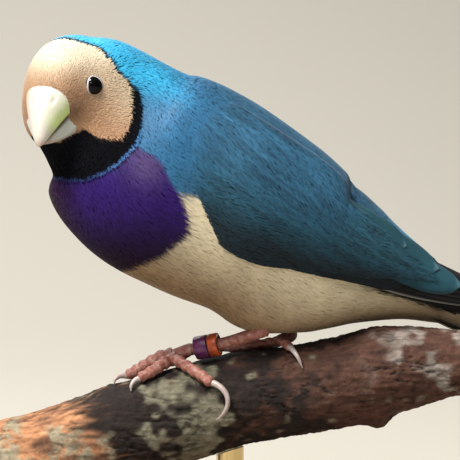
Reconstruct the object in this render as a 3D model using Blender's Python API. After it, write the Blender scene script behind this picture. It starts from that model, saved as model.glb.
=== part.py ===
"""A Gouldian finch at life size, perched on a cut length of branch that a plain display stand holds.

Sizes are in millimetres and turn into metres once, where an object is made.
X runs from the bird's head towards its tail, Y away from the side that is shown, Z up.
Places are measured from a point at CENTRE_HEIGHT above the underside of the stand.
"""

import math
import random

import bmesh
import bpy
import numpy as np
from mathutils import Matrix, Vector
from mathutils.bvhtree import BVHTree

MM = 0.001
GAP = 0.3
CENTRE_HEIGHT = 62.0

# The bird's body: it stands slantwise, its head end turned a little to the side that is shown
BODY_YAW = math.radians(8.0)
BODY_POWER = 2.2
BODY_AROUND = 36
BODY_STEP = 2.1
# Along X, height of the middle, then reach above, below and to each side of the middle
BODY = (
    (-26.5, 20.6, 9.2, 7.2, 5.0),
    (-24.0, 19.4, 11.2, 9.4, 6.4),
    (-21.4, 18.0, 12.4, 12.0, 8.2),
    (-14.8, 12.2, 15.4, 16.0, 12.2),
    (-4.2, 5.8, 16.5, 16.7, 12.7),
    (5.3, 0.7, 15.2, 15.2, 12.2),
    (13.4, -4.4, 13.6, 12.6, 10.6),
    (17.6, -5.8, 12.2, 10.6, 9.0),
    (21.7, -7.0, 10.2, 8.4, 7.2),
    (28.5, -8.9, 6.3, 6.0, 5.2),
    (35.3, -11.8, 3.4, 3.9, 3.6),
    (41.0, -14.4, 1.5, 1.9, 2.6),
    (46.0, -16.6, 0.5, 0.6, 1.7),
)
BREAST_REACH = 5.0
BODY_TIP = 0.6
# How softly the swellings of the head and the thighs run into the body
BLEND = 1.1
FARTHEST = 26.0
SCAN_STEPS = 25
HALVINGS = 14
THIGH_FORMS = (
    ((5.4, -2.9, -10.6), (7.4, 4.4, 5.2)),
    ((7.0, 5.2, -10.45), (6.6, 5.0, 4.6)),
)

# The head, turned to look out of the side that is shown
HEAD_MIDDLE = Vector((-24.9, -6.0, 22.6))
HEAD_YAW = math.radians(25.0)
HEAD_PITCH = math.radians(20.0)
HEAD_CAP_STEPS = 9
# Each form: middle, then reach ahead, to the side and up, from the middle of the head
HEAD_FORMS = (
    ((-0.6, 0.0, 0.2), (7.3, 6.2, 7.4)),
    ((2.4, 0.0, -1.2), (4.5, 4.8, 4.8)),
    ((1.0, 2.6, -4.4), (4.6, 4.0, 4.6)),
    ((0.7, -2.0, -4.2), (4.6, 3.5, 4.5)),
    ((0.4, 0.8, -8.4), (4.9, 4.8, 5.8)),
    ((-3.4, 4.6, -1.6), (5.5, 6.0, 7.4)),
)

# Where the left and the right eye look out, from the middle of the head
EYE_PLACES = {1.0: Vector((-1.9, 0.0, 1.3)), -1.0: Vector((-1.2, 0.0, 1.05))}
EYE_OUT = {1.0: math.radians(52.0), -1.0: math.radians(75.0)}
EYE_RADIUS = 1.55
# How deep the middle of the left and of the right eye lies
EYE_DEPTHS = {1.0: 0.98, -1.0: 1.4}
LID_MAJOR = 1.7
LID_MINOR = 0.3
LID_RISE = 0.05

BILL_BASE = Vector((4.6, -0.3, -0.8))
BILL_PITCH = math.radians(25.5)
BILL_YAW = math.radians(3.0)
BILL_LENGTH = 8.6
BILL_HALF_WIDTH = 4.5
BILL_OVER = 3.9
BILL_UNDER = 4.6
BILL_DROOP = 0.9
LOWER_WIDER = 1.0
LOWER_BULGE = 0.6
LOWER_SQUARE = 0.75
LOWER_SHORTER = 0.9
BILL_TAPER = 0.6
BILL_CURVE = 1.7
BILL_FULLNESS = 0.8
MOUTH_GAP = 0.3
BILL_AROUND = 10
BILL_STATIONS = (0.0, 0.2, 0.38, 0.54, 0.68, 0.8, 0.9, 0.97)
NOSTRIL_RADIUS = 0.42
# Ahead, to the side and up from the root of the bill
NOSTRIL_PLACE = (2.6, 1.9, 3.2)

# Cuts between the parts of the body: a place on each cut and its direction
NECK_FRONT = ((-20.5, -4.5, 18.0), (0.55, 0.70, -0.45))
NECK_BACK = ((-12.0, -1.5, 14.0), (0.80, 0.12, -0.58))
TORSO_END = ((21.0, 0.0, -7.0), (0.97, 0.13, -0.20))
RUMP_END = ((29.0, 0.0, -9.0), (0.95, 0.13, -0.28))

# Wings: a close-fitting envelope round the rear of the body, then the feathers laid on it
WING_REAR = (
    (17.6, -5.8, 12.6, 10.8, 9.6),
    (21.7, -7.0, 10.8, 9.0, 8.4),
    (28.5, -8.9, 6.9, 6.5, 6.6),
    (35.3, -10.4, 3.5, 3.5, 5.5),
    (42.0, -11.7, 1.9, 1.9, 4.4),
    (50.0, -13.2, 0.7, 0.7, 3.2),
)
ENVELOPE = tuple(row for row in BODY if row[0] < 14.0) + WING_REAR
WING_LIFT = 0.4
WING_HIGH = 70.0
# Lower edge of the folded wing: place along the body and angle up round it
WING_LOW = ((-8.0, -25.0), (5.0, -25.0), (13.0, -16.0), (20.0, -14.0))
# Front edge of the folded wing: angle up round the body and place along it
WING_FRONT = ((-25.0, -3.5), (0.0, -10.5), (25.0, -14.0), (50.0, -13.5), (70.0, -10.0))
WING_BACK = 19.0
WING_LOW_FROM = -6.0
WING_THICK = 1.7
WING_EDGE = 0.55
CORE_ALONG = 12
CORE_AROUND = 9
# How fast the arm of the wing rises from its ends and from its lower and upper edges
CORE_RISES = (4.0, 3.5)
VANE_THICK = 0.55
VANE_TIP_THIN = 0.6
VANE_STATIONS = (0.0, 0.3, 0.6, 0.8, 0.93, 1.0)
VANE_WIDTHS = (0.55, 0.85, 1.0, 0.95, 0.62, 0.22)
# Tiers of the wing's feathers: count, root and tip of the lowest as (x, degrees), step from one to the
# next at the root and at the tip, width, lift at the root and at the tip, step of that lift, scatter
WING_TIERS = (
    (5, (10.0, -6.0), (49.0, -2.0), (0.0, 5.0), (-2.6, 9.0), 3.4, (0.45, 0.45), 0.18, 0.0),
    (4, (6.0, -8.0), (26.5, -1.0), (0.0, 9.0), (1.3, 10.0), 4.2, (0.7, 1.0), 0.14, 0.0),
    (6, (-1.0, -16.0), (12.0, -11.0), (0.0, 13.0), (0.5, 13.0), 4.0, (0.9, 1.9), 0.0, 0.3),
    (5, (-6.0, -8.0), (3.6, -15.0), (0.0, 14.0), (0.4, 15.0), 4.4, (1.0, 2.0), 0.0, 0.3),
)
# The broad inner feathers: where each tip lies, its width and its lift
TERTIALS = ((35.5, 15.0, 5.0, 1.1), (31.5, 29.0, 4.8, 1.2), (25.5, 38.0, 4.2, 1.3))
TERTIAL_ROOT_X = 7.0
TERTIAL_ROOT_LIFT = 0.9

# The tail: feathers that fan out a little from one root under the coverts
TAIL_ROOT = (30.5, -11.1)
TAIL_SLOPE = math.radians(-22.0)
TAIL_PAIRS = 6
TAIL_LENGTHS = (56.0, 40.0, 38.5, 37.0, 35.0, 33.0)
TAIL_WIDTH = 3.6
TAIL_SPREAD = 0.42
TAIL_STACK = 0.42
TAIL_FIRST_OUT = 0.7
TAIL_DROP = 0.4
TAIL_TILT = 0.12
# The middle pair narrows to filaments; shares of the length and of the width
MIDDLE_STATIONS = (0.0, 0.2, 0.42, 0.58, 0.72, 0.88, 1.0)
MIDDLE_WIDTHS = (0.6, 0.9, 0.95, 0.62, 0.25, 0.18, 0.1)

# Legs, feet and leg band
SHANK_RADIUS = 0.92
SHANK_LEFT = ((-5.9, -1.2, -18.85), (-0.5, -2.6, -17.6), (5.6, -4.6, -15.4))
SHANK_RIGHT = ((9.6, 2.9, -16.6), (9.4, 4.4, -15.2), (9.0, 6.2, -13.2))
SHANK_SIDES = 10
ANKLE_RADIUS = 1.0
ANKLE_LENGTH = 0.5
BAND_INNER = SHANK_RADIUS + GAP
BAND_OUTER = 1.85
BAND_START = 0.55
BAND_WIDTHS = (("leg_band_purple", 2.35), ("leg_band_orange", 1.65))
BAND_GAP = 0.12
TOE_SIDES = 8
CLAW_SIDES = 6

# The perch: along X, then Y, height of its middle and radius
PERCH = (
    (-43.0, 1.0, -42.6, 8.4),
    (-36.5, 1.0, -40.0, 8.4),
    (-15.9, 0.4, -32.4, 7.9),
    (2.2, 0.0, -26.8, 7.4),
    (11.1, -0.6, -25.4, 7.2),
    (27.0, -1.6, -21.9, 6.8),
    (36.5, -2.8, -20.6, 5.2),
    (40.5, -3.4, -20.1, 4.9),
)
PERCH_AROUND = 26
PERCH_STEP = 3.0
BARK_WAVE = 0.12
BARK_TURN = 0.55
# Knots: place along, angle round, height, reach along and reach round
KNOTS = (
    (-33.5, 10.0, 0.7, 2.5, 30.0),
    (-24.0, 70.0, 0.5, 3.5, 35.0),
    (-17.0, -5.0, 0.5, 2.4, 40.0),
    (14.0, 120.0, 0.5, 4.0, 40.0),
    (22.0, 172.0, 1.6, 2.2, 26.0),
    (24.5, 20.0, 0.5, 2.6, 35.0),
)

# The display stand
BASE_SIZE = (96.0, 62.0, 8.0)
BASE_CORNER = 7.0
BASE_EDGE = 1.0
ROD_RADIUS = 2.2
ROD_X = 0.0

SIDE = Vector((math.sin(BODY_YAW), -math.cos(BODY_YAW), 0.0))


def clear_scene():
    for item in list(bpy.data.objects):
        bpy.data.objects.remove(item, do_unlink=True)


def smooth(table, at):
    """Read every column of a table of stations at one place along its first column."""
    rows = np.asarray(table, float)
    keys = rows[:, 0]
    values = rows[:, 1:]
    slopes = np.gradient(values, keys, axis=0)
    at = min(max(at, keys[0]), keys[-1])
    i = min(int(np.searchsorted(keys, at, side="right")) - 1, len(keys) - 2)
    step = keys[i + 1] - keys[i]
    t = (at - keys[i]) / step
    start = (2 * t ** 3 - 3 * t ** 2 + 1) * values[i]
    leave = (t ** 3 - 2 * t ** 2 + t) * step * slopes[i]
    end = (3 * t ** 2 - 2 * t ** 3) * values[i + 1]
    arrive = (t ** 3 - t ** 2) * step * slopes[i + 1]
    return start + leave + end + arrive


# Objects and how they are joined, cut and finished

def finish(name, colour, roughness, metallic=0.0):
    material = bpy.data.materials.new(name)
    material.use_nodes = True
    shader = material.node_tree.nodes["Principled BSDF"]
    shader.inputs["Base Color"].default_value = (*colour, 1.0)
    shader.inputs["Roughness"].default_value = roughness
    shader.inputs["Metallic"].default_value = metallic
    return material


def new_object(name, bm, material=None, in_place=True):
    """Make an object from a mesh in millimetres, in place or about its own middle."""
    bmesh.ops.recalc_face_normals(bm, faces=bm.faces)
    shift = Matrix.Translation((0.0, 0.0, CENTRE_HEIGHT if in_place else 0.0))
    bmesh.ops.transform(bm, matrix=Matrix.Scale(MM, 4) @ shift, verts=bm.verts)
    mesh = bpy.data.meshes.new(name)
    bm.to_mesh(mesh)
    bm.free()
    mesh.shade_smooth()
    mesh.set_sharp_from_angle(angle=math.radians(40.0))
    item = bpy.data.objects.new(name, mesh)
    bpy.context.scene.collection.objects.link(item)
    if material:
        mesh.materials.append(material)
    return item


def placed(point):
    """A point in millimetres as a place in the scene."""
    return (Vector(point) + Vector((0.0, 0.0, CENTRE_HEIGHT))) * MM


def keep_largest(item):
    """Keep only the largest closed surface of an object, in triangles."""
    bm = bmesh.new()
    bm.from_mesh(item.data)
    bmesh.ops.triangulate(bm, faces=bm.faces)
    waiting = set(bm.verts)
    shells = []
    while waiting:
        stack = [waiting.pop()]
        shell = []
        while stack:
            vert = stack.pop()
            shell.append(vert)
            for edge in vert.link_edges:
                other = edge.other_vert(vert)
                if other in waiting:
                    waiting.discard(other)
                    stack.append(other)
        shells.append(shell)
    shells.sort(key=lambda shell: span(shell), reverse=True)
    for shell in shells[1:]:
        bmesh.ops.delete(bm, geom=shell, context="VERTS")
    bm.to_mesh(item.data)
    bm.free()


def span(verts):
    """The volume of the box round some vertices."""
    places = np.array([tuple(vert.co) for vert in verts])
    return float(np.prod(places.max(axis=0) - places.min(axis=0)))


def combine(item, others, operation, solver):
    """Join closed objects to one, or take them away from it, and remove them."""
    group = bpy.data.collections.new(item.name + "_pieces")
    bpy.context.scene.collection.children.link(group)
    for other in others:
        for owner in list(other.users_collection):
            owner.objects.unlink(other)
        group.objects.link(other)
    cut = item.modifiers.new("combine", "BOOLEAN")
    cut.operation = operation
    cut.operand_type = "COLLECTION"
    cut.collection = group
    cut.solver = solver
    bpy.context.view_layer.objects.active = item
    bpy.context.view_layer.update()
    bpy.ops.object.modifier_apply(modifier=cut.name)
    for other in others:
        bpy.data.objects.remove(other, do_unlink=True)
    bpy.data.collections.remove(group)
    keep_largest(item)


def fuse(item, others, solver="EXACT"):
    combine(item, others, "UNION", solver)


def carve(item, others, solver="EXACT"):
    combine(item, others, "DIFFERENCE", solver)


# Closed forms made of rings

def skin_rings(rings, start=None, end=None):
    """Close a row of rings of points into one body, with an end point or a flat end."""
    bm = bmesh.new()
    rows = [[bm.verts.new(point) for point in ring] for ring in rings]
    count = len(rows[0])
    for near, far in zip(rows, rows[1:]):
        for i in range(count):
            j = (i + 1) % count
            bm.faces.new((near[i], near[j], far[j], far[i]))
    for row, tip in ((rows[0], start), (rows[-1], end)):
        if tip is None:
            bm.faces.new(row)
            continue
        point = bm.verts.new(tip)
        for i in range(count):
            bm.faces.new((row[i], row[(i + 1) % count], point))
    return bm


def tube(points, radii, sides, flat=1.0, dome=0.5):
    """A round tube through points, with a low dome or a flat cap at its start and a dome at its end."""
    points = [Vector(point) for point in points]
    rings = []
    across = None
    for i, point in enumerate(points):
        ahead = points[min(i + 1, len(points) - 1)]
        behind = points[max(i - 1, 0)]
        along = (ahead - behind).normalized()
        if across is None:
            across = along.cross(Vector((0.0, 0.0, 1.0)))
            if across.length < 0.1:
                across = along.cross(Vector((1.0, 0.0, 0.0)))
        across = (across - along * across.dot(along)).normalized()
        over = across.cross(along)
        ring = []
        for k in range(sides):
            angle = 2.0 * math.pi * k / sides
            reach = across * math.cos(angle) + over * math.sin(angle) * flat
            ring.append(point + reach * radii[i])
        rings.append(ring)
    start = points[0] + (points[0] - points[1]).normalized() * radii[0] * dome
    end = points[-1] + (points[-1] - points[-2]).normalized() * radii[-1] * 0.6
    return skin_rings(rings, start if dome else None, end)


def ball(middle, radius, detail=3):
    bm = bmesh.new()
    bmesh.ops.create_icosphere(bm, subdivisions=detail, radius=radius)
    bmesh.ops.translate(bm, vec=middle, verts=bm.verts)
    return bm


# The body's surface

def oval(angle, over, under, half):
    rise = math.sin(angle)
    wide = abs(math.cos(angle)) / half
    tall = abs(rise) / (over if rise > 0.0 else under)
    return (wide ** BODY_POWER + tall ** BODY_POWER) ** (-1.0 / BODY_POWER)


def head_axes():
    """The head's directions ahead, to its left and up."""
    level = math.cos(HEAD_PITCH)
    ahead = Vector((-math.sin(HEAD_YAW) * level, -math.cos(HEAD_YAW) * level, -math.sin(HEAD_PITCH)))
    left = Vector((math.cos(HEAD_YAW), -math.sin(HEAD_YAW), 0.0))
    return ahead, left, ahead.cross(left)


AHEAD, LEFT, CROWN = head_axes()


def on_head(point):
    """A place given ahead, left and up of the middle of the head."""
    return HEAD_MIDDLE + AHEAD * point[0] + LEFT * point[1] + CROWN * point[2]


def swellings():
    """Every swelling of the body: its middle, its reaches and the directions they are taken in."""
    forms = [(on_head(place), reach, (AHEAD, LEFT, CROWN)) for place, reach in HEAD_FORMS]
    forms += [(place, reach, Matrix.Identity(3)) for place, reach in THIGH_FORMS]
    return [tuple(np.array(part, float) for part in form) for form in forms]


SWELLINGS = swellings()


def outside(points, own):
    """How far points lie outside the body; own is how far they lie outside its lofted form."""
    total = np.exp(-own / BLEND)
    for middle, reach, directions in SWELLINGS:
        local = (points - middle) @ directions.T / reach
        near = np.linalg.norm(local, axis=-1)
        total += np.exp(-near * (near - 1.0) / np.linalg.norm(local / reach, axis=-1) / BLEND)
    return -BLEND * np.log(total)


def swollen(middle, directions, own):
    """How far rays from a middle run before they leave the body, at least as far as its lofted form."""
    def out_at(reach):
        return outside(middle + directions * reach[..., None], reach - own)
    steps = np.linspace(0.0, 1.0, SCAN_STEPS)[:, None]
    trial = own + (FARTHEST - own) * steps
    inside = out_at(trial) < 0.0
    last = len(steps) - 1 - np.argmax(inside[::-1], axis=0)
    last = np.minimum(np.where(inside.any(axis=0), last, 0), len(steps) - 2)
    columns = np.arange(len(own))
    low = trial[last, columns]
    high = trial[last + 1, columns]
    for _ in range(HALVINGS):
        half = 0.5 * (low + high)
        within = out_at(half) < 0.0
        low = np.where(within, half, low)
        high = np.where(within, high, half)
    return 0.5 * (low + high)


def section(table, x):
    """Middle, direction, up and the reaches of one cross-section of a lofted form."""
    low = max(x - 0.5, table[0][0])
    high = min(x + 0.5, table[-1][0])
    rise = (smooth(table, high)[0] - smooth(table, low)[0]) / (high - low)
    along = Vector((1.0, math.tan(BODY_YAW), rise)).normalized()
    up = SIDE.cross(along)
    height, over, under, half = smooth(table, x)
    middle = Vector((x, math.tan(BODY_YAW) * x, height))
    return middle, along, up, (over, under, half)


def loft_ring(table, x, angles, lift=0.0):
    """Points of a lofted form: angle 0 is the bird's left side and a quarter turn its back."""
    middle, along, up, reaches = section(table, x)
    directions = np.array([SIDE * math.cos(angle) + up * math.sin(angle) for angle in angles])
    own = np.array([oval(angle, *reaches) for angle in angles])
    reach = swollen(np.array(middle), directions, own) + lift
    return np.array(middle) + directions * reach[:, None]


def cap_ring(polar, angles, lift):
    """Points in front of the first cross-section, from its edge at a quarter turn to the pole at 0."""
    middle, along, up, reaches = section(BODY, BODY[0][0])
    directions = []
    own = []
    for angle in angles:
        out = SIDE * math.cos(angle) + up * math.sin(angle)
        directions.append(out * math.sin(polar) - along * math.cos(polar))
        own.append(1.0 / math.hypot(math.sin(polar) / oval(angle, *reaches), math.cos(polar) / BREAST_REACH))
    directions = np.array(directions)
    reach = swollen(np.array(middle), directions, np.array(own)) + lift
    return np.array(middle) + directions * reach[:, None]


def body_form(lift=0.0):
    """The whole body in one closed surface, grown by a lift where it serves as a cutter."""
    angles = [2.0 * math.pi * k / BODY_AROUND for k in range(BODY_AROUND)]
    start_x = BODY[0][0]
    end_x = BODY[-1][0]
    polars = [0.5 * math.pi * row / HEAD_CAP_STEPS for row in range(1, HEAD_CAP_STEPS)]
    rings = [cap_ring(polar, angles, lift) for polar in polars]
    steps = round((end_x - start_x) / BODY_STEP)
    for step in range(steps + 1):
        rings.append(loft_ring(BODY, start_x + (end_x - start_x) * step / steps, angles, lift))
    pole = cap_ring(0.0, [0.0], lift)[0]
    last, along = section(BODY, end_x)[:2]
    return skin_rings(rings, pole, last + along * (BODY_TIP + lift))


def cut_between(bm, low, high):
    """Keep what lies between two cuts, each standing half a gap back."""
    for cut, side in ((low, 1.0), (high, -1.0)):
        if cut is None:
            continue
        normal = Vector(cut[1]).normalized()
        place = Vector(cut[0]) + normal * side * GAP * 0.5
        geometry = list(bm.verts) + list(bm.edges) + list(bm.faces)
        result = bmesh.ops.bisect_plane(
            bm, geom=geometry, dist=1e-5, plane_co=place, plane_no=normal,
            clear_inner=side > 0.0, clear_outer=side < 0.0,
        )
        rim = [part for part in result["geom_cut"] if isinstance(part, bmesh.types.BMEdge)]
        bmesh.ops.contextual_create(bm, geom=rim)
    return bm


def make_body():
    coat = {
        "head": ((0.80, 0.62, 0.42), 0.75),
        "neck": ((0.10, 0.45, 0.75), 0.6),
        "torso": ((0.78, 0.66, 0.50), 0.75),
        "rump": ((0.10, 0.42, 0.62), 0.6),
        "tail": ((0.04, 0.08, 0.10), 0.55),
    }
    cuts = {
        "head": (None, NECK_FRONT),
        "neck": (NECK_FRONT, NECK_BACK),
        "torso": (NECK_BACK, TORSO_END),
        "rump": (TORSO_END, RUMP_END),
        "tail": (RUMP_END, None),
    }
    parts = {}
    for name, (low, high) in cuts.items():
        bm = cut_between(body_form(), low, high)
        bmesh.ops.triangulate(bm, faces=bm.faces)
        parts[name] = new_object(name, bm, finish(name, *coat[name]))
    return parts


# Eyes and bill

def eye_frame(side):
    """The middle of an eye and the direction it looks, 1 for the left and -1 for the right."""
    looks = AHEAD * math.cos(EYE_OUT[side]) + LEFT * side * math.sin(EYE_OUT[side])
    bm = body_form()
    surface, normal = BVHTree.FromBMesh(bm).ray_cast(on_head(EYE_PLACES[side]), looks)[:2]
    bm.free()
    looks = (looks + normal * (1.0 if normal.dot(looks) > 0.0 else -1.0)).normalized()
    return surface - looks * EYE_DEPTHS[side], looks


def make_eyes(head):
    lids = []
    sockets = []
    for name, side in (("eye_left", 1.0), ("eye_right", -1.0)):
        middle, looks = eye_frame(side)
        turn = looks.to_track_quat("Z", "Y")
        bpy.ops.mesh.primitive_torus_add(
            major_segments=20, minor_segments=8, major_radius=LID_MAJOR * MM, minor_radius=LID_MINOR * MM,
        )
        lid = bpy.context.active_object
        lid.name = name + "_lid"
        lid.matrix_world = Matrix.LocRotScale(
            placed(middle + looks * (EYE_DEPTHS[1.0] + LID_RISE)), turn, (1.0, 0.86, 1.0))
        apply_place(lid)
        lids.append(lid)
        sockets.append(new_object(name + "_socket", ball(middle, EYE_RADIUS + GAP)))
        eye = new_object(name, ball((0.0, 0.0, 0.0), EYE_RADIUS),
                         finish(name, (0.012, 0.010, 0.010), 0.12), in_place=False)
        eye.location = placed(middle)
        eye.rotation_euler = turn.to_euler()
    fuse(head, lids)
    carve(head, sockets)


def apply_place(item):
    """Write an object's place into its mesh."""
    bpy.context.view_layer.update()
    item.data.transform(item.matrix_world)
    item.matrix_world = Matrix.Identity(4)


def bill_axes():
    """The bill's directions ahead, left and up, drooping from the head's."""
    turn = Matrix.Rotation(BILL_YAW, 3, CROWN) @ Matrix.Rotation(BILL_PITCH, 3, LEFT)
    ahead = turn @ AHEAD
    left = turn @ LEFT
    return ahead, left, ahead.cross(left)


def bill_half(upper):
    """One mandible: half-oval sections from the root inside the face to the tip."""
    ahead, left, up = bill_axes()
    base = on_head(BILL_BASE)
    sense = 1.0 if upper else -1.0
    height = BILL_OVER if upper else BILL_UNDER
    square = 1.0 if upper else LOWER_SQUARE
    reach = 1.0 if upper else LOWER_SHORTER
    rings = []
    for t in BILL_STATIONS:
        slim = math.sqrt(1.0 - t * t) * (1.0 - BILL_TAPER * t)
        wide = BILL_HALF_WIDTH * slim * (1.0 if upper else LOWER_WIDER)
        tall = height * (1.0 - t ** BILL_CURVE) ** BILL_FULLNESS
        droop = BILL_DROOP * t * t
        middle = base + ahead * (BILL_LENGTH * t * reach) - up * droop
        ring = []
        for k in range(BILL_AROUND + 1):
            angle = math.pi * k / BILL_AROUND
            across = math.cos(angle)
            across = math.copysign(abs(across) ** square, across)
            if not upper:
                across *= 1.0 + LOWER_BULGE * abs(math.sin(2.0 * angle))
            rise = MOUTH_GAP * 0.5 + tall * max(math.sin(angle), 0.0) ** square
            ring.append(middle + left * wide * across + up * sense * rise)
        rings.append(ring)
    tip = base + ahead * BILL_LENGTH * reach - up * (BILL_DROOP - sense * MOUTH_GAP * 0.5)
    return skin_rings(rings, None, tip)


def make_bill():
    colours = {"bill_upper": (0.86, 0.82, 0.74), "bill_lower": (0.74, 0.74, 0.62)}
    ahead, left, up = bill_axes()
    for name, colour in colours.items():
        upper = name == "bill_upper"
        half = new_object(name, bill_half(upper), finish(name, colour, 0.35))
        cutters = [new_object("face_room", body_form(GAP))]
        if upper:
            for side in (1.0, -1.0):
                place = (on_head(BILL_BASE) + ahead * NOSTRIL_PLACE[0] + left * side * NOSTRIL_PLACE[1]
                         + up * NOSTRIL_PLACE[2])
                cutters.append(new_object("nostril", ball(place, NOSTRIL_RADIUS, 2)))
        carve(half, cutters)


# Wings

def wing_front(degrees):
    return smooth(WING_FRONT, degrees)[0]


def envelope(x, degrees, lift, left):
    """A point over the closed wing's seat on the body, on the left or the right side."""
    angle = math.radians(degrees if left else 180.0 - degrees)
    return loft_ring(ENVELOPE, x, [angle], WING_LIFT + lift)[0]


def envelope_radius(x, degrees):
    reaches = section(ENVELOPE, x)[3]
    return oval(math.radians(degrees), *reaches)


def wing_core(left):
    """The wing's close-feathered arm: a shell that thins to its edges."""
    bm = bmesh.new()
    outer = []
    inner = []
    for i in range(CORE_ALONG + 1):
        u = i / CORE_ALONG
        outer.append([])
        inner.append([])
        for j in range(CORE_AROUND + 1):
            v = j / CORE_AROUND
            low = smooth(WING_LOW, WING_LOW_FROM + (WING_BACK - WING_LOW_FROM) * u)[0]
            degrees = low + (WING_HIGH - low) * v
            front = wing_front(degrees)
            x = front + (WING_BACK - front) * u
            crown = min(1.0, CORE_RISES[0] * min(u, 1.0 - u))
            crown *= min(1.0, 0.25 + CORE_RISES[1] * min(v, 1.0 - v))
            thick = WING_EDGE + (WING_THICK - WING_EDGE) * math.sqrt(crown)
            outer[i].append(bm.verts.new(envelope(x, degrees, thick, left)))
            inner[i].append(bm.verts.new(envelope(x, degrees, 0.0, left)))
    for i in range(CORE_ALONG):
        for j in range(CORE_AROUND):
            for sheet in (outer, inner):
                a, b = sheet[i][j], sheet[i][j + 1]
                c, d = sheet[i + 1][j + 1], sheet[i + 1][j]
                bm.faces.new((a, b, c))
                bm.faces.new((a, c, d))
    rim = [(0, j) for j in range(CORE_AROUND)]
    rim += [(i, CORE_AROUND) for i in range(CORE_ALONG)]
    rim += [(CORE_ALONG, j) for j in range(CORE_AROUND, 0, -1)]
    rim += [(i, 0) for i in range(CORE_ALONG, 0, -1)]
    for (i, j), (k, m) in zip(rim, rim[1:] + rim[:1]):
        bm.faces.new((outer[i][j], outer[k][m], inner[k][m]))
        bm.faces.new((outer[i][j], inner[k][m], inner[i][j]))
    return bm


def blade(sections):
    """A feather vane from four-cornered sections: left edge, top, right edge and underside."""
    bm = bmesh.new()
    rows = [[bm.verts.new(point) for point in row] for row in sections]
    for near, far in zip(rows, rows[1:]):
        for edge, ridge in ((0, 1), (2, 1), (2, 3), (0, 3)):
            bm.faces.new((near[edge], near[ridge], far[ridge]))
            bm.faces.new((near[edge], far[ridge], far[edge]))
    for row in (rows[0], rows[-1]):
        bm.faces.new((row[0], row[1], row[3]))
        bm.faces.new((row[2], row[1], row[3]))
    return bm


def wing_vane(root, tip, width, lifts, left):
    """One feather on the wing's envelope from (x, degrees) to (x, degrees), lifting on its way."""
    sections = []
    for t, share in zip(VANE_STATIONS, VANE_WIDTHS):
        x = root[0] + (tip[0] - root[0]) * t
        degrees = root[1] + (tip[1] - root[1]) * t
        lift = lifts[0] + (lifts[1] - lifts[0]) * t
        half = 0.5 * width * share
        swing = math.degrees(half / (envelope_radius(x, degrees) + lift))
        thick = 0.5 * VANE_THICK * (1.0 if t < 1.0 else VANE_TIP_THIN)
        sections.append((
            envelope(x, degrees - swing, lift, left),
            envelope(x, degrees, lift + thick, left),
            envelope(x, degrees + swing, lift, left),
            envelope(x, degrees, lift - thick, left),
        ))
    return blade(sections)


def wing_feathers(draw):
    """Root, tip, width and lifts of every large feather of a closed wing, tier by tier."""
    feathers = []
    for count, root, tip, root_step, tip_step, width, lifts, lift_step, scatter in WING_TIERS:
        for k in range(count):
            near = (root[0] + root_step[0] * k, root[1] + root_step[1] * k)
            far = (tip[0] + tip_step[0] * k + draw.uniform(-scatter, scatter), tip[1] + tip_step[1] * k)
            feathers.append((near, far, width, (lifts[0], lifts[1] + lift_step * k)))
    for x, degrees, width, lift in TERTIALS:
        root = (TERTIAL_ROOT_X, 14.0 + 0.8 * degrees)
        feathers.append((root, (x, degrees), width, (TERTIAL_ROOT_LIFT, lift)))
    return feathers


def make_wings():
    draw = random.Random(7)
    feathers = wing_feathers(draw)
    for name, left in (("wing_left", True), ("wing_right", False)):
        wing = new_object(name, wing_core(left), finish(name, (0.03, 0.20, 0.32), 0.55))
        fuse(wing, [new_object("feather", wing_vane(*feather, left)) for feather in feathers], "MANIFOLD")


# Tail

def tail_vane(pair, side, draw):
    """One tail feather, 0 the middle pair, reaching back and down from the root."""
    along = Vector((math.cos(TAIL_SLOPE) * math.cos(BODY_YAW),
                    math.cos(TAIL_SLOPE) * math.sin(BODY_YAW), math.sin(TAIL_SLOPE)))
    up = SIDE.cross(along)
    root = Vector((TAIL_ROOT[0], math.tan(BODY_YAW) * TAIL_ROOT[0], TAIL_ROOT[1]))
    length = TAIL_LENGTHS[pair] + draw.uniform(-0.4, 0.4)
    stations, widths = (MIDDLE_STATIONS, MIDDLE_WIDTHS) if pair == 0 else (VANE_STATIONS, VANE_WIDTHS)
    sections = []
    for t, share in zip(stations, widths):
        out = side * (TAIL_FIRST_OUT + TAIL_SPREAD * pair * (0.35 + 0.65 * t))
        drop = TAIL_STACK * (pair + 0.5 * (side < 0.0)) + TAIL_DROP * pair * t
        middle = root + along * (length * t) + SIDE * out - up * drop
        half = 0.5 * TAIL_WIDTH * share
        thick = 0.5 * VANE_THICK * (1.0 if t < 1.0 else VANE_TIP_THIN)
        tilt = -side * TAIL_TILT * half
        sections.append((
            middle + SIDE * half + up * tilt,
            middle + up * thick,
            middle - SIDE * half - up * tilt,
            middle - up * thick,
        ))
    return blade(sections)


def make_tail(tail):
    draw = random.Random(11)
    vanes = []
    for pair in range(TAIL_PAIRS):
        for side in (1.0, -1.0):
            vanes.append(new_object("feather", tail_vane(pair, side, draw)))
    fuse(tail, vanes)


# Perch

def perch_radius(x, degrees):
    """Radius of the perch at a place along it, with its knots and the waves of its bark."""
    radius = smooth(PERCH, x)[2]
    for place, angle, height, along, around in KNOTS:
        turn = (degrees - angle + 180.0) % 360.0 - 180.0
        radius += height * math.exp(-((x - place) / along) ** 2 - (turn / around) ** 2)
    radius += BARK_WAVE * math.sin(BARK_TURN * x + 0.03 * degrees) * math.sin(math.radians(3.0 * degrees))
    return radius


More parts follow.
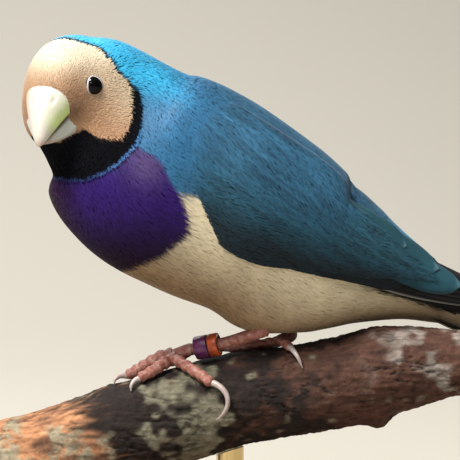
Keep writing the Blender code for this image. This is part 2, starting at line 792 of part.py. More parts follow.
def perch_point(x, degrees, lift=0.0):
    """A point over the perch: 0 degrees is its top and 90 the side that is shown."""
    y, z, radius = smooth(PERCH, x)
    low = smooth(PERCH, max(x - 0.5, PERCH[0][0]))
    high = smooth(PERCH, min(x + 0.5, PERCH[-1][0]))
    along = Vector((1.0, high[0] - low[0], high[1] - low[1])).normalized()
    front = Vector((0.0, -1.0, 0.0))
    front = (front - along * front.dot(along)).normalized()
    up = front.cross(along)
    turn = math.radians(degrees)
    direction = up * math.cos(turn) + front * math.sin(turn)
    return Vector((x, y, z)) + direction * (perch_radius(x, degrees) + lift)


def make_perch():
    start_x = PERCH[0][0]
    end_x = PERCH[-1][0]
    steps = round((end_x - start_x) / PERCH_STEP)
    rings = []
    for i in range(steps + 1):
        x = start_x + (end_x - start_x) * i / steps
        rings.append([perch_point(x, 360.0 * k / PERCH_AROUND) for k in range(PERCH_AROUND)])
    bm = skin_rings(rings)
    bmesh.ops.triangulate(bm, faces=bm.faces)
    new_object("perch", bm, finish("perch", (0.20, 0.13, 0.09), 0.85))


# Legs and feet

def along_perch(route, radii, sides, flat=1.0):
    """A toe or claw laid over the perch: its route is (x, degrees, extra lift)."""
    points = []
    for (x, degrees, lift), radius in zip(route, radii):
        points.append(perch_point(x, degrees, GAP + radius * flat + lift))
    return tube(points, radii, sides, flat)


# Each foot: the place of its palm, then toes and claws as routes with their radii
TOES_LEFT = (
    (((-6.2, 0.0, 0.5), (-8.0, 2.0, 0.8), (-10.0, 2.0, 0.5), (-11.8, 0.0, 0.2), (-13.4, -1.0, 0.0)),
     (1.25, 1.15, 1.05, 0.95, 0.8)),
    (((-6.2, 4.0, 0.3), (-7.8, 12.0, 0.35), (-9.4, 18.0, 0.15), (-11.4, 20.0, 0.0)),
     (1.05, 0.98, 0.88, 0.74)),
    (((-6.4, -8.0, 0.3), (-8.2, -20.0, 0.3), (-9.8, -29.0, 0.1), (-11.2, -35.0, 0.0)),
     (1.05, 0.95, 0.85, 0.7)),
    (((-6.2, 4.0, 0.4), (-5.2, 18.0, 0.3), (-4.0, 32.0, 0.1), (-2.7, 46.0, 0.0), (-1.6, 57.0, 0.05)),
     (1.05, 0.88, 0.86, 0.84, 0.78)),
)
CLAWS_LEFT = (
    (((-13.2, -1.0, 0.0), (-14.4, 1.0, 0.5), (-15.3, 5.0, 0.4), (-15.8, 9.0, 0.0)),
     (0.5, 0.45, 0.36, 0.2)),
    (((-11.1, 20.0, 0.0), (-12.2, 23.0, 0.4), (-13.0, 28.0, 0.3), (-13.3, 33.0, 0.0)),
     (0.48, 0.42, 0.34, 0.2)),
    (((-11.0, -34.0, 0.0), (-12.1, -38.0, 0.4), (-13.0, -43.0, 0.3), (-13.7, -48.0, 0.0)),
     (0.48, 0.42, 0.34, 0.2)),
    (((-1.8, 55.0, 0.0), (-0.5, 64.0, 0.6), (0.3, 74.0, 0.9), (0.2, 84.0, 0.9), (-0.8, 93.0, 0.6),
      (-2.2, 99.0, 0.2)),
     (0.55, 0.5, 0.46, 0.42, 0.38, 0.28)),
)
TOES_RIGHT = (
    (((8.9, -12.0, 0.0), (6.8, -14.0, 0.0), (4.2, -15.0, 0.0), (1.6, -17.0, 0.0)),
     (0.75, 0.72, 0.7, 0.62)),
    (((8.9, -14.0, 0.0), (6.8, -26.0, 0.0), (4.4, -34.0, 0.0), (2.4, -40.0, 0.0)),
     (0.75, 0.7, 0.68, 0.58)),
    (((8.9, -17.0, 0.0), (7.2, -37.0, 0.1), (5.2, -52.0, 0.0), (3.6, -62.0, 0.0)),
     (0.75, 0.7, 0.68, 0.58)),
    (((8.9, -12.0, 0.0), (9.8, 6.0, 0.0), (10.8, 22.0, 0.0)),
     (0.75, 0.72, 0.65)),
)
CLAWS_RIGHT = (
    (((1.9, -16.8, 0.0), (0.4, -18.0, 0.4), (-0.8, -20.0, 0.0)), (0.45, 0.38, 0.2)),
    (((2.7, -39.0, 0.0), (1.4, -44.0, 0.4), (0.4, -49.0, 0.0)), (0.45, 0.38, 0.2)),
    (((3.9, -61.0, 0.0), (2.8, -68.0, 0.4), (2.0, -74.0, 0.0)), (0.45, 0.38, 0.2)),
    (((10.6, 20.0, 0.0), (11.4, 33.0, 0.5), (12.1, 45.0, 0.5), (12.5, 56.0, 0.0)), (0.5, 0.45, 0.36, 0.2)),
)


def make_foot(name, toes, claws, shank):
    onward = (Vector(shank[0]) - Vector(shank[1])).normalized()
    ankle = Vector(shank[0]) + onward * GAP
    knuckle = perch_point(toes[0][0][0][0], toes[0][0][0][1], GAP + toes[0][1][0])
    route = (ankle, ankle + onward * ANKLE_LENGTH, knuckle)
    radii = (SHANK_RADIUS, ANKLE_RADIUS, toes[0][1][0])
    foot = new_object(name, tube(route, radii, SHANK_SIDES, dome=0.0), finish(name, (0.62, 0.28, 0.25), 0.55))
    pieces = [new_object("toe", along_perch(route, radii, TOE_SIDES)) for route, radii in toes]
    pieces += [new_object("claw", along_perch(route, radii, CLAW_SIDES)) for route, radii in claws]
    fuse(foot, pieces, "MANIFOLD")


def make_shank(name, points):
    shank = new_object(name, tube(points, (SHANK_RADIUS,) * len(points), SHANK_SIDES, dome=0.0),
                       finish(name, (0.62, 0.28, 0.25), 0.55))
    carve(shank, [new_object("body_room", body_form(GAP))])


def ring_form(inner, outer, width):
    """A flat ring about Z, standing on its lower face."""
    bm = bmesh.new()
    corners = ((inner, 0.0), (outer, 0.0), (outer, width), (inner, width))
    verts = [bm.verts.new((r, 0.0, z)) for r, z in corners]
    edges = [bm.edges.new((verts[k], verts[(k + 1) % 4])) for k in range(4)]
    bmesh.ops.spin(bm, geom=verts + edges, cent=(0, 0, 0), axis=(0, 0, 1), angle=2.0 * math.pi,
                   steps=20, use_merge=True)
    bmesh.ops.remove_doubles(bm, verts=bm.verts, dist=1e-4)
    return bm


def make_bands():
    colours = {"leg_band_purple": (0.10, 0.02, 0.12), "leg_band_orange": (0.55, 0.12, 0.02)}
    start = Vector(SHANK_LEFT[0])
    along = (Vector(SHANK_LEFT[1]) - start).normalized()
    reach = BAND_START
    for name, width in BAND_WIDTHS:
        band = new_object(name, ring_form(BAND_INNER, BAND_OUTER, width - BAND_GAP),
                          finish(name, colours[name], 0.4), in_place=False)
        band.location = placed(start + along * reach)
        band.rotation_euler = along.to_track_quat("Z", "Y").to_euler()
        reach += width


def make_legs():
    make_shank("shank_left", SHANK_LEFT)
    make_shank("shank_right", SHANK_RIGHT)
    make_foot("foot_left", TOES_LEFT, CLAWS_LEFT, SHANK_LEFT)
    make_foot("foot_right", TOES_RIGHT, CLAWS_RIGHT, SHANK_RIGHT)
    make_bands()


# Display stand

def make_stand():
    bm = bmesh.new()
    bmesh.ops.create_cube(bm, size=1.0)
    bmesh.ops.scale(bm, vec=BASE_SIZE, verts=bm.verts)
    bmesh.ops.translate(bm, vec=(0.0, 0.0, 0.5 * BASE_SIZE[2]), verts=bm.verts)
    upright = [edge for edge in bm.edges if abs(edge.verts[0].co.z - edge.verts[1].co.z) > 1.0]
    bmesh.ops.bevel(bm, geom=upright, offset=BASE_CORNER, segments=6, profile=0.5, affect="EDGES")
    top = [edge for edge in bm.edges if min(vert.co.z for vert in edge.verts) > BASE_SIZE[2] - 0.01]
    bmesh.ops.bevel(bm, geom=top, offset=BASE_EDGE, segments=2, profile=0.5, affect="EDGES")
    bmesh.ops.triangulate(bm, faces=bm.faces)
    new_object("stand_base", bm, finish("stand_base", (0.16, 0.08, 0.04), 0.45), in_place=False)

    low = BASE_SIZE[2] + GAP
    middle = smooth(PERCH, ROD_X)
    high = CENTRE_HEIGHT + middle[1]
    bm = bmesh.new()
    bmesh.ops.create_cone(bm, cap_ends=True, segments=24, radius1=ROD_RADIUS, radius2=ROD_RADIUS,
                          depth=high - low)
    rod = new_object("stand_rod", bm, finish("stand_rod", (0.70, 0.52, 0.26), 0.3, 1.0), in_place=False)
    rod.location = Vector((ROD_X, middle[0], 0.5 * (low + high))) * MM
    apply_place(rod)
    rings = []
    for x in (ROD_X - 6.0, ROD_X - 3.0, ROD_X, ROD_X + 3.0, ROD_X + 6.0):
        rings.append([perch_point(x, 360.0 * k / PERCH_AROUND, GAP) for k in range(PERCH_AROUND)])
    carve(rod, [new_object("perch_room", skin_rings(rings))])


def main():
    clear_scene()
    body = make_body()
    make_eyes(body["head"])
    make_bill()
    make_wings()
    make_tail(body["tail"])
    make_legs()
    make_perch()
    make_stand()


main()
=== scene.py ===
"""A Gouldian finch on a cut branch, feathered and painted over the solid model of the same bird.

Sizes are in millimetres, measured from a point at CENTRE_HEIGHT above the underside of the stand.
X runs from the bird's head towards its tail, Y away from the side that is shown, Z up.
"""

import math

import bpy
import numpy as np
from bpy.props import FloatProperty, FloatVectorProperty, IntProperty, PointerProperty
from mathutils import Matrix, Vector
from mathutils.bvhtree import BVHTree


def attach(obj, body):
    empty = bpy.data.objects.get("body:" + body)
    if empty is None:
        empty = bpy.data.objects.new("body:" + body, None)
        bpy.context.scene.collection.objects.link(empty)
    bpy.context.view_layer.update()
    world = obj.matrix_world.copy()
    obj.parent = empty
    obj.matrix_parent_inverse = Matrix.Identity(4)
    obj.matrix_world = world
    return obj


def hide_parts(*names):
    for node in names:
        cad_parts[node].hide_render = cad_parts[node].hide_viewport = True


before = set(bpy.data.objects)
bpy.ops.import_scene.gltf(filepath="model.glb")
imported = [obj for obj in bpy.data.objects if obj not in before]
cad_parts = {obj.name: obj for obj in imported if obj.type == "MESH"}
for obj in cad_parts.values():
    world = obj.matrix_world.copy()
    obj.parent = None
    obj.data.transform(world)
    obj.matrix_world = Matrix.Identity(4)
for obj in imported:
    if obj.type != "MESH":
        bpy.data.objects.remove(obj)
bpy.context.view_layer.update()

bl_info = {
    "name": "Perched Finch",
    "version": (1, 0, 0),
    "blender": (4, 5, 0),
    "location": "3D View > Sidebar > Finch",
    "description": "Builds a feathered finch on a branch over its solid model",
    "category": "Add Mesh",
}

MM = 0.001
GAP = 0.3
CENTRE_HEIGHT = 62.0

# The body's form, the same as the solid model's: along X, height of the middle, reach above, below, aside
BODY_YAW = math.radians(8.0)
BODY_POWER = 2.2
BODY = (
    (-26.5, 20.6, 9.2, 7.2, 5.0),
    (-24.0, 19.4, 11.2, 9.4, 6.4),
    (-21.4, 18.0, 12.4, 12.0, 8.2),
    (-14.8, 12.2, 15.4, 16.0, 12.2),
    (-4.2, 5.8, 16.5, 16.7, 12.7),
    (5.3, 0.7, 15.2, 15.2, 12.2),
    (13.4, -4.4, 13.6, 12.6, 10.6),
    (17.6, -5.8, 12.2, 10.6, 9.0),
    (21.7, -7.0, 10.2, 8.4, 7.2),
    (28.5, -8.9, 6.3, 6.0, 5.2),
    (35.3, -11.8, 3.4, 3.9, 3.6),
    (41.0, -14.4, 1.5, 1.9, 2.6),
    (46.0, -16.6, 0.5, 0.6, 1.7),
)
BREAST_REACH = 5.0
BODY_TIP = 0.6
BLEND = 1.1
FARTHEST = 26.0
SCAN_STEPS = 25
HALVINGS = 14
THIGH_FORMS = (
    ((5.4, -2.9, -10.6), (7.4, 4.4, 5.2)),
    ((7.0, 5.2, -10.45), (6.6, 5.0, 4.6)),
)
HEAD_MIDDLE = np.array((-24.9, -6.0, 22.6))
HEAD_YAW = math.radians(25.0)
HEAD_PITCH = math.radians(20.0)
HEAD_FORMS = (
    ((-0.6, 0.0, 0.2), (7.3, 6.2, 7.4)),
    ((2.4, 0.0, -1.2), (4.5, 4.8, 4.8)),
    ((1.0, 2.6, -4.4), (4.6, 4.0, 4.6)),
    ((0.7, -2.0, -4.2), (4.6, 3.5, 4.5)),
    ((0.4, 0.8, -8.4), (4.9, 4.8, 5.8)),
    ((-3.4, 4.6, -1.6), (5.5, 6.0, 7.4)),
)
SKIN_AROUND = 190
SKIN_STEP = 0.46
SKIN_CAP_STEPS = 26

EYE_PLACES = {1.0: np.array((-1.9, 0.0, 1.3)), -1.0: np.array((-1.2, 0.0, 1.05))}
EYE_OUT = {1.0: math.radians(52.0), -1.0: math.radians(75.0)}
# How deep the middle of the left and of the right eye lies
EYE_DEPTHS = {1.0: 0.98, -1.0: 1.4}
# The lids' opening: half angles up and down, and to each side, seen from the middle of the eye
LID_TALL = math.radians(62.0)
LID_WIDE = math.radians(44.0)
# How much narrower the opening is above its middle than below
LID_EGG = 0.16
LID_AROUND = 96
# The lids, ring by ring from within: reach past the opening, rise over the eyeball, share of their colour
LID_RINGS = (
    (0.0, -0.16, 0.5), (-0.02, -0.03, 0.8), (0.01, 0.05, 1.0), (0.07, 0.09, 1.0), (0.13, 0.06, 0.55),
    (0.20, -0.02, 0.0), (0.30, -0.16, 0.0), (0.42, -0.4, 0.0), (0.30, -0.5, 0.3), (0.12, -0.4, 0.4),
)
LID_BEADS = 26.0
BEAD_RISE = 0.02
# Where the pupil gives way to the iris, in degrees from the middle of the eye's front
PUPIL_EDGE = (27.0, 31.0)
BALL_ROWS = 32
BALL_AROUND = 64

BILL_BASE = np.array((4.6, -0.3, -0.8))
BILL_PITCH = math.radians(25.5)
BILL_YAW = math.radians(3.0)
BILL_LENGTH = 8.6
BILL_HALF_WIDTH = 4.5
BILL_OVER = 3.9
BILL_UNDER = 4.6
BILL_DROOP = 0.9
LOWER_WIDER = 1.0
LOWER_BULGE = 0.6
LOWER_SQUARE = 0.75
LOWER_SHORTER = 0.9
BILL_TAPER = 0.6
BILL_CURVE = 1.7
BILL_FULLNESS = 0.8
MOUTH_GAP = 0.3
BILL_AROUND = 72
BILL_ALONG = 30
NOSTRIL_PLACE = np.array((2.6, 1.9, 3.2))
NOSTRIL_RADIUS = 0.42
NOSTRIL_DEPTH = 0.45

# Closed wings: the envelope they lie on, and their outline on it
WING_REAR = (
    (17.6, -5.8, 12.6, 10.8, 9.6),
    (21.7, -7.0, 10.8, 9.0, 8.4),
    (28.5, -8.9, 6.9, 6.5, 6.6),
    (35.3, -10.4, 3.5, 3.5, 5.5),
    (42.0, -11.7, 1.9, 1.9, 4.4),
    (50.0, -13.2, 0.7, 0.7, 3.2),
)
ENVELOPE = tuple(row for row in BODY if row[0] < 14.0) + WING_REAR
WING_LIFT = 0.4
WING_HIGH = 70.0
WING_LOW = ((-8.0, -25.0), (5.0, -25.0), (13.0, -12.5), (20.0, -8.5))
WING_FRONT = ((-25.0, -3.5), (0.0, -10.5), (25.0, -14.0), (50.0, -13.5), (70.0, -10.0))
WING_BACK = 19.0
WING_LOW_FROM = -6.0
# Lift of the coverts over the envelope: at the buried front and upper edges, at the lower edge, in full
WING_LIFTS = (-0.8, 0.3, 1.45)
# How far inside the wing's edges the body's coat stops: front, lower and upper edge, and the rear and lowest
# places where it is left out
COAT_STOPS = (5.0, 9.0, 20.0)
COAT_STOP_REAR = 30.0
COAT_STOP_LOW = -14.0
# How far back the coverts reach: angle up round the body and place along it
COVERT_END = (
    (-20.0, 18.0), (-2.0, 22.0), (8.0, 29.0), (15.0, 32.3), (29.0, 28.6), (45.0, 22.0), (70.0, 17.0),
)
WING_REACH = 1.45
WING_ALONG = 84
WING_AROUND = 72
# Flight feathers, tier by tier: count, root and tip of the lowest as (x, degrees), step to the next at the
# root and at the tip, width, lift at the root and at the tip, step of that lift
QUILL_TIERS = (
    ("primary", 6, (10.0, -1.0), (49.5, -2.0), (0.0, 4.0), (-2.2, 7.2), 3.3, (0.1, 0.15), 0.07),
    ("secondary", 5, (6.0, -2.0), (26.5, 4.0), (0.0, 7.0), (1.3, 7.0), 4.2, (0.5, 0.6), 0.06),
)
# The broad inner feathers: where each tip lies, its width and its lift
TERTIALS = ((35.4, 15.0, 5.2, 1.0), (31.2, 29.0, 5.4, 1.13), (25.0, 38.0, 4.6, 1.05))
TERTIAL_ROOT_X = 7.0
TERTIAL_ROOT_LIFT = 0.2
QUILL_ALONG = 26
QUILL_ACROSS = 9
QUILL_THICK = 0.14

# The soft cone of coverts under the root of the tail: along X, height of the middle, reach above, below and
# aside, and how finely it is made
TAIL_SEAT = (
    (29.0, -9.1, 6.0, 5.9, 5.1),
    (35.3, -12.4, 3.0, 3.5, 4.0),
    (41.0, -15.4, 1.5, 3.3, 4.0),
    (47.0, -18.2, 1.0, 3.3, 4.2),
)
UNDERTAIL_ALONG = 40
UNDERTAIL_AROUND = 60
TAIL_ROOT = (30.5, -11.1)
TAIL_SLOPE = math.radians(-22.0)
TAIL_LENGTHS = (56.0, 40.0, 38.5, 37.0, 35.0, 33.0)
TAIL_WIDTH = 3.6
TAIL_SPREAD = 0.42
TAIL_STACK = 0.42
TAIL_FIRST_OUT = 0.7
TAIL_DROP = 0.4
TAIL_TILT = 0.12
MIDDLE_STATIONS = (0.0, 0.2, 0.42, 0.58, 0.72, 0.88, 1.0)
MIDDLE_WIDTHS = (0.6, 0.9, 0.95, 0.62, 0.25, 0.18, 0.1)

SHANK_RADIUS = 0.92
SHANK_LEFT = ((-5.9, -1.2, -18.85), (-0.5, -2.6, -17.6), (5.6, -4.6, -15.4))
SHANK_RIGHT = ((9.6, 2.9, -16.6), (9.4, 4.4, -15.2), (9.0, 6.2, -13.2))
ANKLE_RADIUS = 1.0
ANKLE_LENGTH = 0.5
LEG_SIDES = 24
TOE_SIDES = 20
TOE_ALONG = 54
CLAW_SIDES = 14
CLAW_ALONG = 34
BAND_INNER = SHANK_RADIUS + 0.3
BAND_OUTER = 1.85
BAND_START = 0.55
BAND_WIDTHS = (("leg_band_purple", 2.35), ("leg_band_orange", 1.65))
BAND_GAP = 0.12
BAND_EDGE = 0.14
BAND_EDGE_ROUND = 0.04
BAND_AROUND = 72

PERCH = (
    (-43.0, 1.0, -42.6, 8.4),
    (-36.5, 1.0, -40.0, 8.4),
    (-15.9, 0.4, -32.4, 7.9),
    (2.2, 0.0, -26.8, 7.4),
    (11.1, -0.6, -25.4, 7.2),
    (27.0, -1.6, -21.9, 6.8),
    (36.5, -2.8, -20.6, 5.2),
    (40.5, -3.4, -20.1, 4.9),
)
BARK_WAVE = 0.12
BARK_TURN = 0.55
CRACK_DEPTH = 0.3
KNOTS = (
    (-33.5, 10.0, 0.7, 2.5, 30.0),
    (-24.0, 70.0, 0.5, 3.5, 35.0),
    (-17.0, -5.0, 0.5, 2.4, 40.0),
    (14.0, 120.0, 0.5, 4.0, 40.0),
    (22.0, 172.0, 1.6, 2.2, 26.0),
    (24.5, 20.0, 0.5, 2.6, 35.0),
)
PERCH_AROUND = 200
PERCH_ALONG = 280

# Each foot: toes and claws as routes over the perch, (x, degrees, extra lift), with their radii
TOES_LEFT = (
    (((-6.2, 0.0, 0.5), (-8.0, 2.0, 0.8), (-10.0, 2.0, 0.5), (-11.8, 0.0, 0.2), (-13.4, -1.0, 0.0)),
     (1.25, 1.15, 1.05, 0.95, 0.8)),
    (((-6.2, 4.0, 0.3), (-7.8, 12.0, 0.35), (-9.4, 18.0, 0.15), (-11.4, 20.0, 0.0)),
     (1.05, 0.98, 0.88, 0.74)),
    (((-6.4, -8.0, 0.3), (-8.2, -20.0, 0.3), (-9.8, -29.0, 0.1), (-11.2, -35.0, 0.0)),
     (1.05, 0.95, 0.85, 0.7)),
    (((-6.2, 4.0, 0.4), (-5.2, 18.0, 0.3), (-4.0, 32.0, 0.1), (-2.7, 46.0, 0.0), (-1.6, 57.0, 0.05)),
     (1.05, 0.88, 0.86, 0.84, 0.78)),
)
CLAWS_LEFT = (
    (((-13.2, -1.0, 0.0), (-14.4, 1.0, 0.5), (-15.3, 5.0, 0.4), (-15.8, 9.0, 0.0)),
     (0.5, 0.45, 0.36, 0.2)),
    (((-11.1, 20.0, 0.0), (-12.2, 23.0, 0.4), (-13.0, 28.0, 0.3), (-13.3, 33.0, 0.0)),
     (0.48, 0.42, 0.34, 0.2)),
    (((-11.0, -34.0, 0.0), (-12.1, -38.0, 0.4), (-13.0, -43.0, 0.3), (-13.7, -48.0, 0.0)),
     (0.48, 0.42, 0.34, 0.2)),
    (((-1.8, 55.0, 0.0), (-0.5, 64.0, 0.6), (0.3, 74.0, 0.9), (0.2, 84.0, 0.9), (-0.8, 93.0, 0.6),
      (-2.2, 99.0, 0.2)),
     (0.55, 0.5, 0.46, 0.42, 0.38, 0.28)),
)
TOES_RIGHT = (
    (((8.9, -12.0, 0.0), (6.8, -14.0, 0.0), (4.2, -15.0, 0.0), (1.6, -17.0, 0.0)),
     (0.75, 0.72, 0.7, 0.62)),
    (((8.9, -14.0, 0.0), (6.8, -26.0, 0.0), (4.4, -34.0, 0.0), (2.4, -40.0, 0.0)),
     (0.75, 0.7, 0.68, 0.58)),
    (((8.9, -17.0, 0.0), (7.2, -37.0, 0.1), (5.2, -52.0, 0.0), (3.6, -62.0, 0.0)),
     (0.75, 0.7, 0.68, 0.58)),
    (((8.9, -12.0, 0.0), (9.8, 6.0, 0.0), (10.8, 22.0, 0.0)),
     (0.75, 0.72, 0.65)),
)
CLAWS_RIGHT = (
    (((1.9, -16.8, 0.0), (0.4, -18.0, 0.4), (-0.8, -20.0, 0.0)), (0.45, 0.38, 0.2)),
    (((2.7, -39.0, 0.0), (1.4, -44.0, 0.4), (0.4, -49.0, 0.0)), (0.45, 0.38, 0.2)),
    (((3.9, -61.0, 0.0), (2.8, -68.0, 0.4), (2.0, -74.0, 0.0)), (0.45, 0.38, 0.2)),
    (((10.6, 20.0, 0.0), (11.4, 33.0, 0.5), (12.1, 45.0, 0.5), (12.5, 56.0, 0.0)), (0.5, 0.45, 0.36, 0.2)),
)

# Outlines of the markings in side view, as (x, z)
MASK_OUTLINE = (
    (-25.65, 29.85), (-23.8, 29.5), (-20.4, 28.3), (-18.4, 26.4), (-17.5, 24.7), (-16.3, 23.7),
    (-15.5, 22.6), (-15.3, 20.6), (-15.2, 18.4), (-15.9, 16.1), (-16.7, 15.0), (-19.0, 14.9),
    (-20.5, 15.3), (-21.6, 15.9), (-22.5, 16.4), (-24.6, 15.6), (-26.8, 14.4), (-28.0, 12.6),
    (-29.6, 11.9), (-31.0, 12.6), (-38.0, 13.0), (-38.0, 28.0), (-28.5, 30.6),
)
BLACK_OUTLINE = (
    (-16.3, 23.7), (-15.0, 22.9), (-14.1, 21.7), (-13.7, 19.6), (-13.8, 17.3), (-14.3, 15.2), (-15.0, 14.0),
    (-17.3, 11.7), (-19.1, 10.5), (-21.0, 9.6), (-22.7, 9.1), (-25.1, 9.1), (-26.8, 9.5), (-29.0, 10.4),
    (-36.0, 12.0), (-36.0, 18.0), (-20.0, 20.0),
)
VIOLET_OUTLINE = (
    (-16.2, 13.6), (-13.9, 14.1), (-12.1, 12.8), (-10.6, 11.3), (-9.1, 7.8), (-7.9, 5.5), (-7.3, 3.2),
    (-7.5, 1.2), (-8.8, -0.4), (-10.7, -1.8), (-13.0, -3.3), (-15.5, -4.5), (-17.1, -5.2), (-24.0, -8.0),
    (-38.0, 0.0), (-38.0, 15.0), (-25.0, 16.0), (-17.5, 13.5),
)
# Lower edge of the black beside the root of the tail, as (x, z)
TAIL_SIDE = ((17.3, -8.3), (35.4, -13.4), (46.0, -16.5))
# How much wider the near cheek is than the far one, which carries the same mask
FAR_CHEEK = 1.35

# The coat, region by region: tufts to a square millimetre, their length, width, thickness and rise
COAT = {
    "face": (34.0, 0.7, 0.17, 0.016, 0.008),
    "throat": (22.0, 0.9, 0.19, 0.025, 0.015),
    "nape": (22.0, 1.5, 0.19, 0.025, 0.02),
    "back": (18.0, 2.1, 0.20, 0.03, 0.03),
    "breast": (18.0, 2.1, 0.20, 0.03, 0.03),
    "belly": (16.0, 2.8, 0.20, 0.03, 0.03),
    "rump": (14.0, 2.8, 0.24, 0.035, 0.04),
}
# How far the tones of single tufts spread
TONE_SPREADS = {"face": 0.02, "throat": 0.04, "nape": 0.05, "back": 0.08, "breast": 0.07, "belly": 0.03,
                "rump": 0.06}
COAT_SLOTS = {"face": "face_plumage", "throat": "face_plumage", "nape": "back_plumage",
              "back": "back_plumage", "rump": "back_plumage", "breast": "belly_plumage",
              "belly": "belly_plumage"}
WING_COAT = (19.0, 1.9, 0.17, 0.028, 0.03)
# Fine streaks of tone down the wing, partly painted sheen and painted shade along the feathers: how steep
# they run, and their length and breadth
STREAK_TURN = math.radians(38.0)
STREAK_SIZES = (4.0, 0.45)
MOST_TUFTS = 19000
TUFT_SINK = 0.25
# Along a tuft: place, share of its width and share of its rise, which is below the surface at the root
TUFT_STATIONS = ((0.0, 0.5, -1.0), (0.5, 1.0, 0.4), (1.0, 0.0, 1.0))
TUFT_ROUND = 0.3
TUFT_PATCH = 0.003
# Bare rims that the coat leaves round an eyeball and round the bill
EYE_RIM = 0.15
BILL_RIM = 2.6
# Tufts shorten to this share close to an eye
EYE_TUFT_SHARE = 0.35
# From how far to how far off the head's middle the lie of its feathers gives way to the body's
HEAD_LIE = (8.0, 16.0)
FACE_DEPTH = 0.1
COAT_DEPTH = 0.35

# Places on the head, ahead, aside and up of its middle
DARK_PATCH = (4.6, 4.3, 0.6)
DARK_PATCH_SIZE = (2.2, 2.2, 1.5)
PALE_EYE_PATCH = (2.2, 5.9, 1.6)
GAPE_PLACE = (6.4, 3.5, -1.6)
# The painted highlight high on the breast, as (x, z), and its size
BREAST_HIGHLIGHT = (-13.5, 12.2)
BREAST_HIGHLIGHT_SIZE = (3.2, 3.4)

# The camera: its view in degrees, how far away it stands in metres and how far it looks down
CAMERA_VIEW = 13.0
CAMERA_AWAY = 0.32
CAMERA_PITCH = 4.0
# Each light: place in metres, size and colour
LIGHTS = (
    ("key", (-0.30, -0.26, 0.70), 0.22, (1.0, 0.97, 0.92)),
    ("fill", (-0.2, -0.66, 0.52), 0.1, (0.95, 0.97, 1.0)),
    ("rim", (-0.2, 0.45, 0.6), 0.3, (0.95, 0.98, 1.0)),
)
# The backdrop in metres: where the flat floor starts and ends, the bend's radii, the wall's height
FLOOR_START = -1.6
FLOOR_RUN = 1.9
BEND_OUT = 0.6
WALL_HEIGHT = 2.0
BACKDROP_HALF = 3.0

SIDE = np.array((math.sin(BODY_YAW), -math.cos(BODY_YAW), 0.0))
NOD = math.tan(BODY_YAW)


# Small helpers on arrays of places

def unit(vectors):
    return vectors / np.maximum(np.linalg.norm(vectors, axis=-1, keepdims=True), 1e-9)


def soft(values, low, high):
    """0 below low and 1 above high, with a soft rise between."""
    t = np.clip((np.asarray(values, float) - low) / (high - low), 0.0, 1.0)
    return t * t * (3.0 - 2.0 * t)


def mix(first, second, share):
    share = np.asarray(share, float)[..., None]
    return np.asarray(first, float) * (1.0 - share) + np.asarray(second, float) * share


def smooth(table, at):
    """Read every column of a table of stations at places along its first column."""
    rows = np.asarray(table, float)
    keys = rows[:, 0]
    values = rows[:, 1:]
    slopes = np.gradient(values, keys, axis=0)
    at = np.clip(np.asarray(at, float), keys[0], keys[-1])
    i = np.minimum(np.searchsorted(keys, at, side="right") - 1, len(keys) - 2)
    step = (keys[i + 1] - keys[i])[..., None]
    t = (at - keys[i])[..., None] / step
    start = (2 * t ** 3 - 3 * t ** 2 + 1) * values[i]
    leave = (t ** 3 - 2 * t ** 2 + t) * step * slopes[i]
    end = (3 * t ** 2 - 2 * t ** 3) * values[i + 1]
    arrive = (t ** 3 - t ** 2) * step * slopes[i + 1]
    return start + leave + end + arrive


def noise(points, size, seed=0):
    """Smooth random values from -1 to 1 on a lattice of that size."""
    places = np.asarray(points, float) / size
    cell = np.floor(places).astype(np.int64)
    part = places - cell
    part = part * part * (3.0 - 2.0 * part)
    total = np.zeros(places.shape[:-1])
    for corner in range(8):
        bits = np.array([(corner >> k) & 1 for k in range(3)])
        share = np.prod(np.where(bits, part, 1.0 - part), axis=-1)
        at = cell + bits
        key = (at[..., 0] * 73856093) ^ (at[..., 1] * 19349663) ^ (at[..., 2] * 83492791) ^ (seed * 2654435)
        key = (key ^ (key >> 13)) * 1274126177
        total += share * (((key ^ (key >> 16)) & 0xFFFF) / 32767.5 - 1.0)
    return total


def within(points, outline):
    """Signed distance of flat points from an outline, positive inside it."""
    ring = np.asarray(outline, float)
    nearest = np.full(len(points), 1e9)
    inside = np.zeros(len(points), bool)
    for a, b in zip(ring, np.roll(ring, -1, axis=0)):
        edge = b - a
        offset = points - a
        t = np.clip(offset @ edge / (edge @ edge), 0.0, 1.0)
        nearest = np.minimum(nearest, np.linalg.norm(offset - t[:, None] * edge, axis=1))
        spans = (a[1] > points[:, 1]) != (b[1] > points[:, 1])
        rise = edge[1] if edge[1] != 0.0 else 1e-9
        inside ^= spans & (points[:, 0] < edge[0] * (points[:, 1] - a[1]) / rise + a[0])
    return np.where(inside, nearest, -nearest)


# Meshes from arrays

def grid_faces(rows, columns, around=True):
    """The four-cornered faces of a grid of points, joined round its columns or open."""
    i = np.arange(rows - 1)[:, None]
    j = np.arange(columns if around else columns - 1)[None]
    k = (j + 1) % columns
    corners = (i * columns + j, i * columns + k, (i + 1) * columns + k, (i + 1) * columns + j)
    return np.stack(corners, -1).reshape(-1, 4)


def fan_faces(ring, point):
    """Triangles from a ring of point numbers to one point."""
    ring = np.asarray(ring)
    return np.stack([ring, np.roll(ring, -1), np.full(len(ring), point)], -1)


def closed_faces(rows, columns, start=0, end=1):
    """Faces of a closed form whose grid of points is followed by the poles of its start and its end."""
    first = np.arange(columns)
    count = rows * columns
    return [grid_faces(rows, columns), fan_faces(first[::-1], count + start),
            fan_faces(first + count - columns, count + end)]


def facing(normals, way):
    """Normals, turned round where they look against a way as a whole."""
    return -normals if (normals * way).sum() < 0.0 else normals


def surface_tree(points, faces):
    """A tree that finds the nearest place on a surface."""
    return BVHTree.FromPolygons([tuple(point) for point in points.reshape(-1, 3)], faces.tolist())


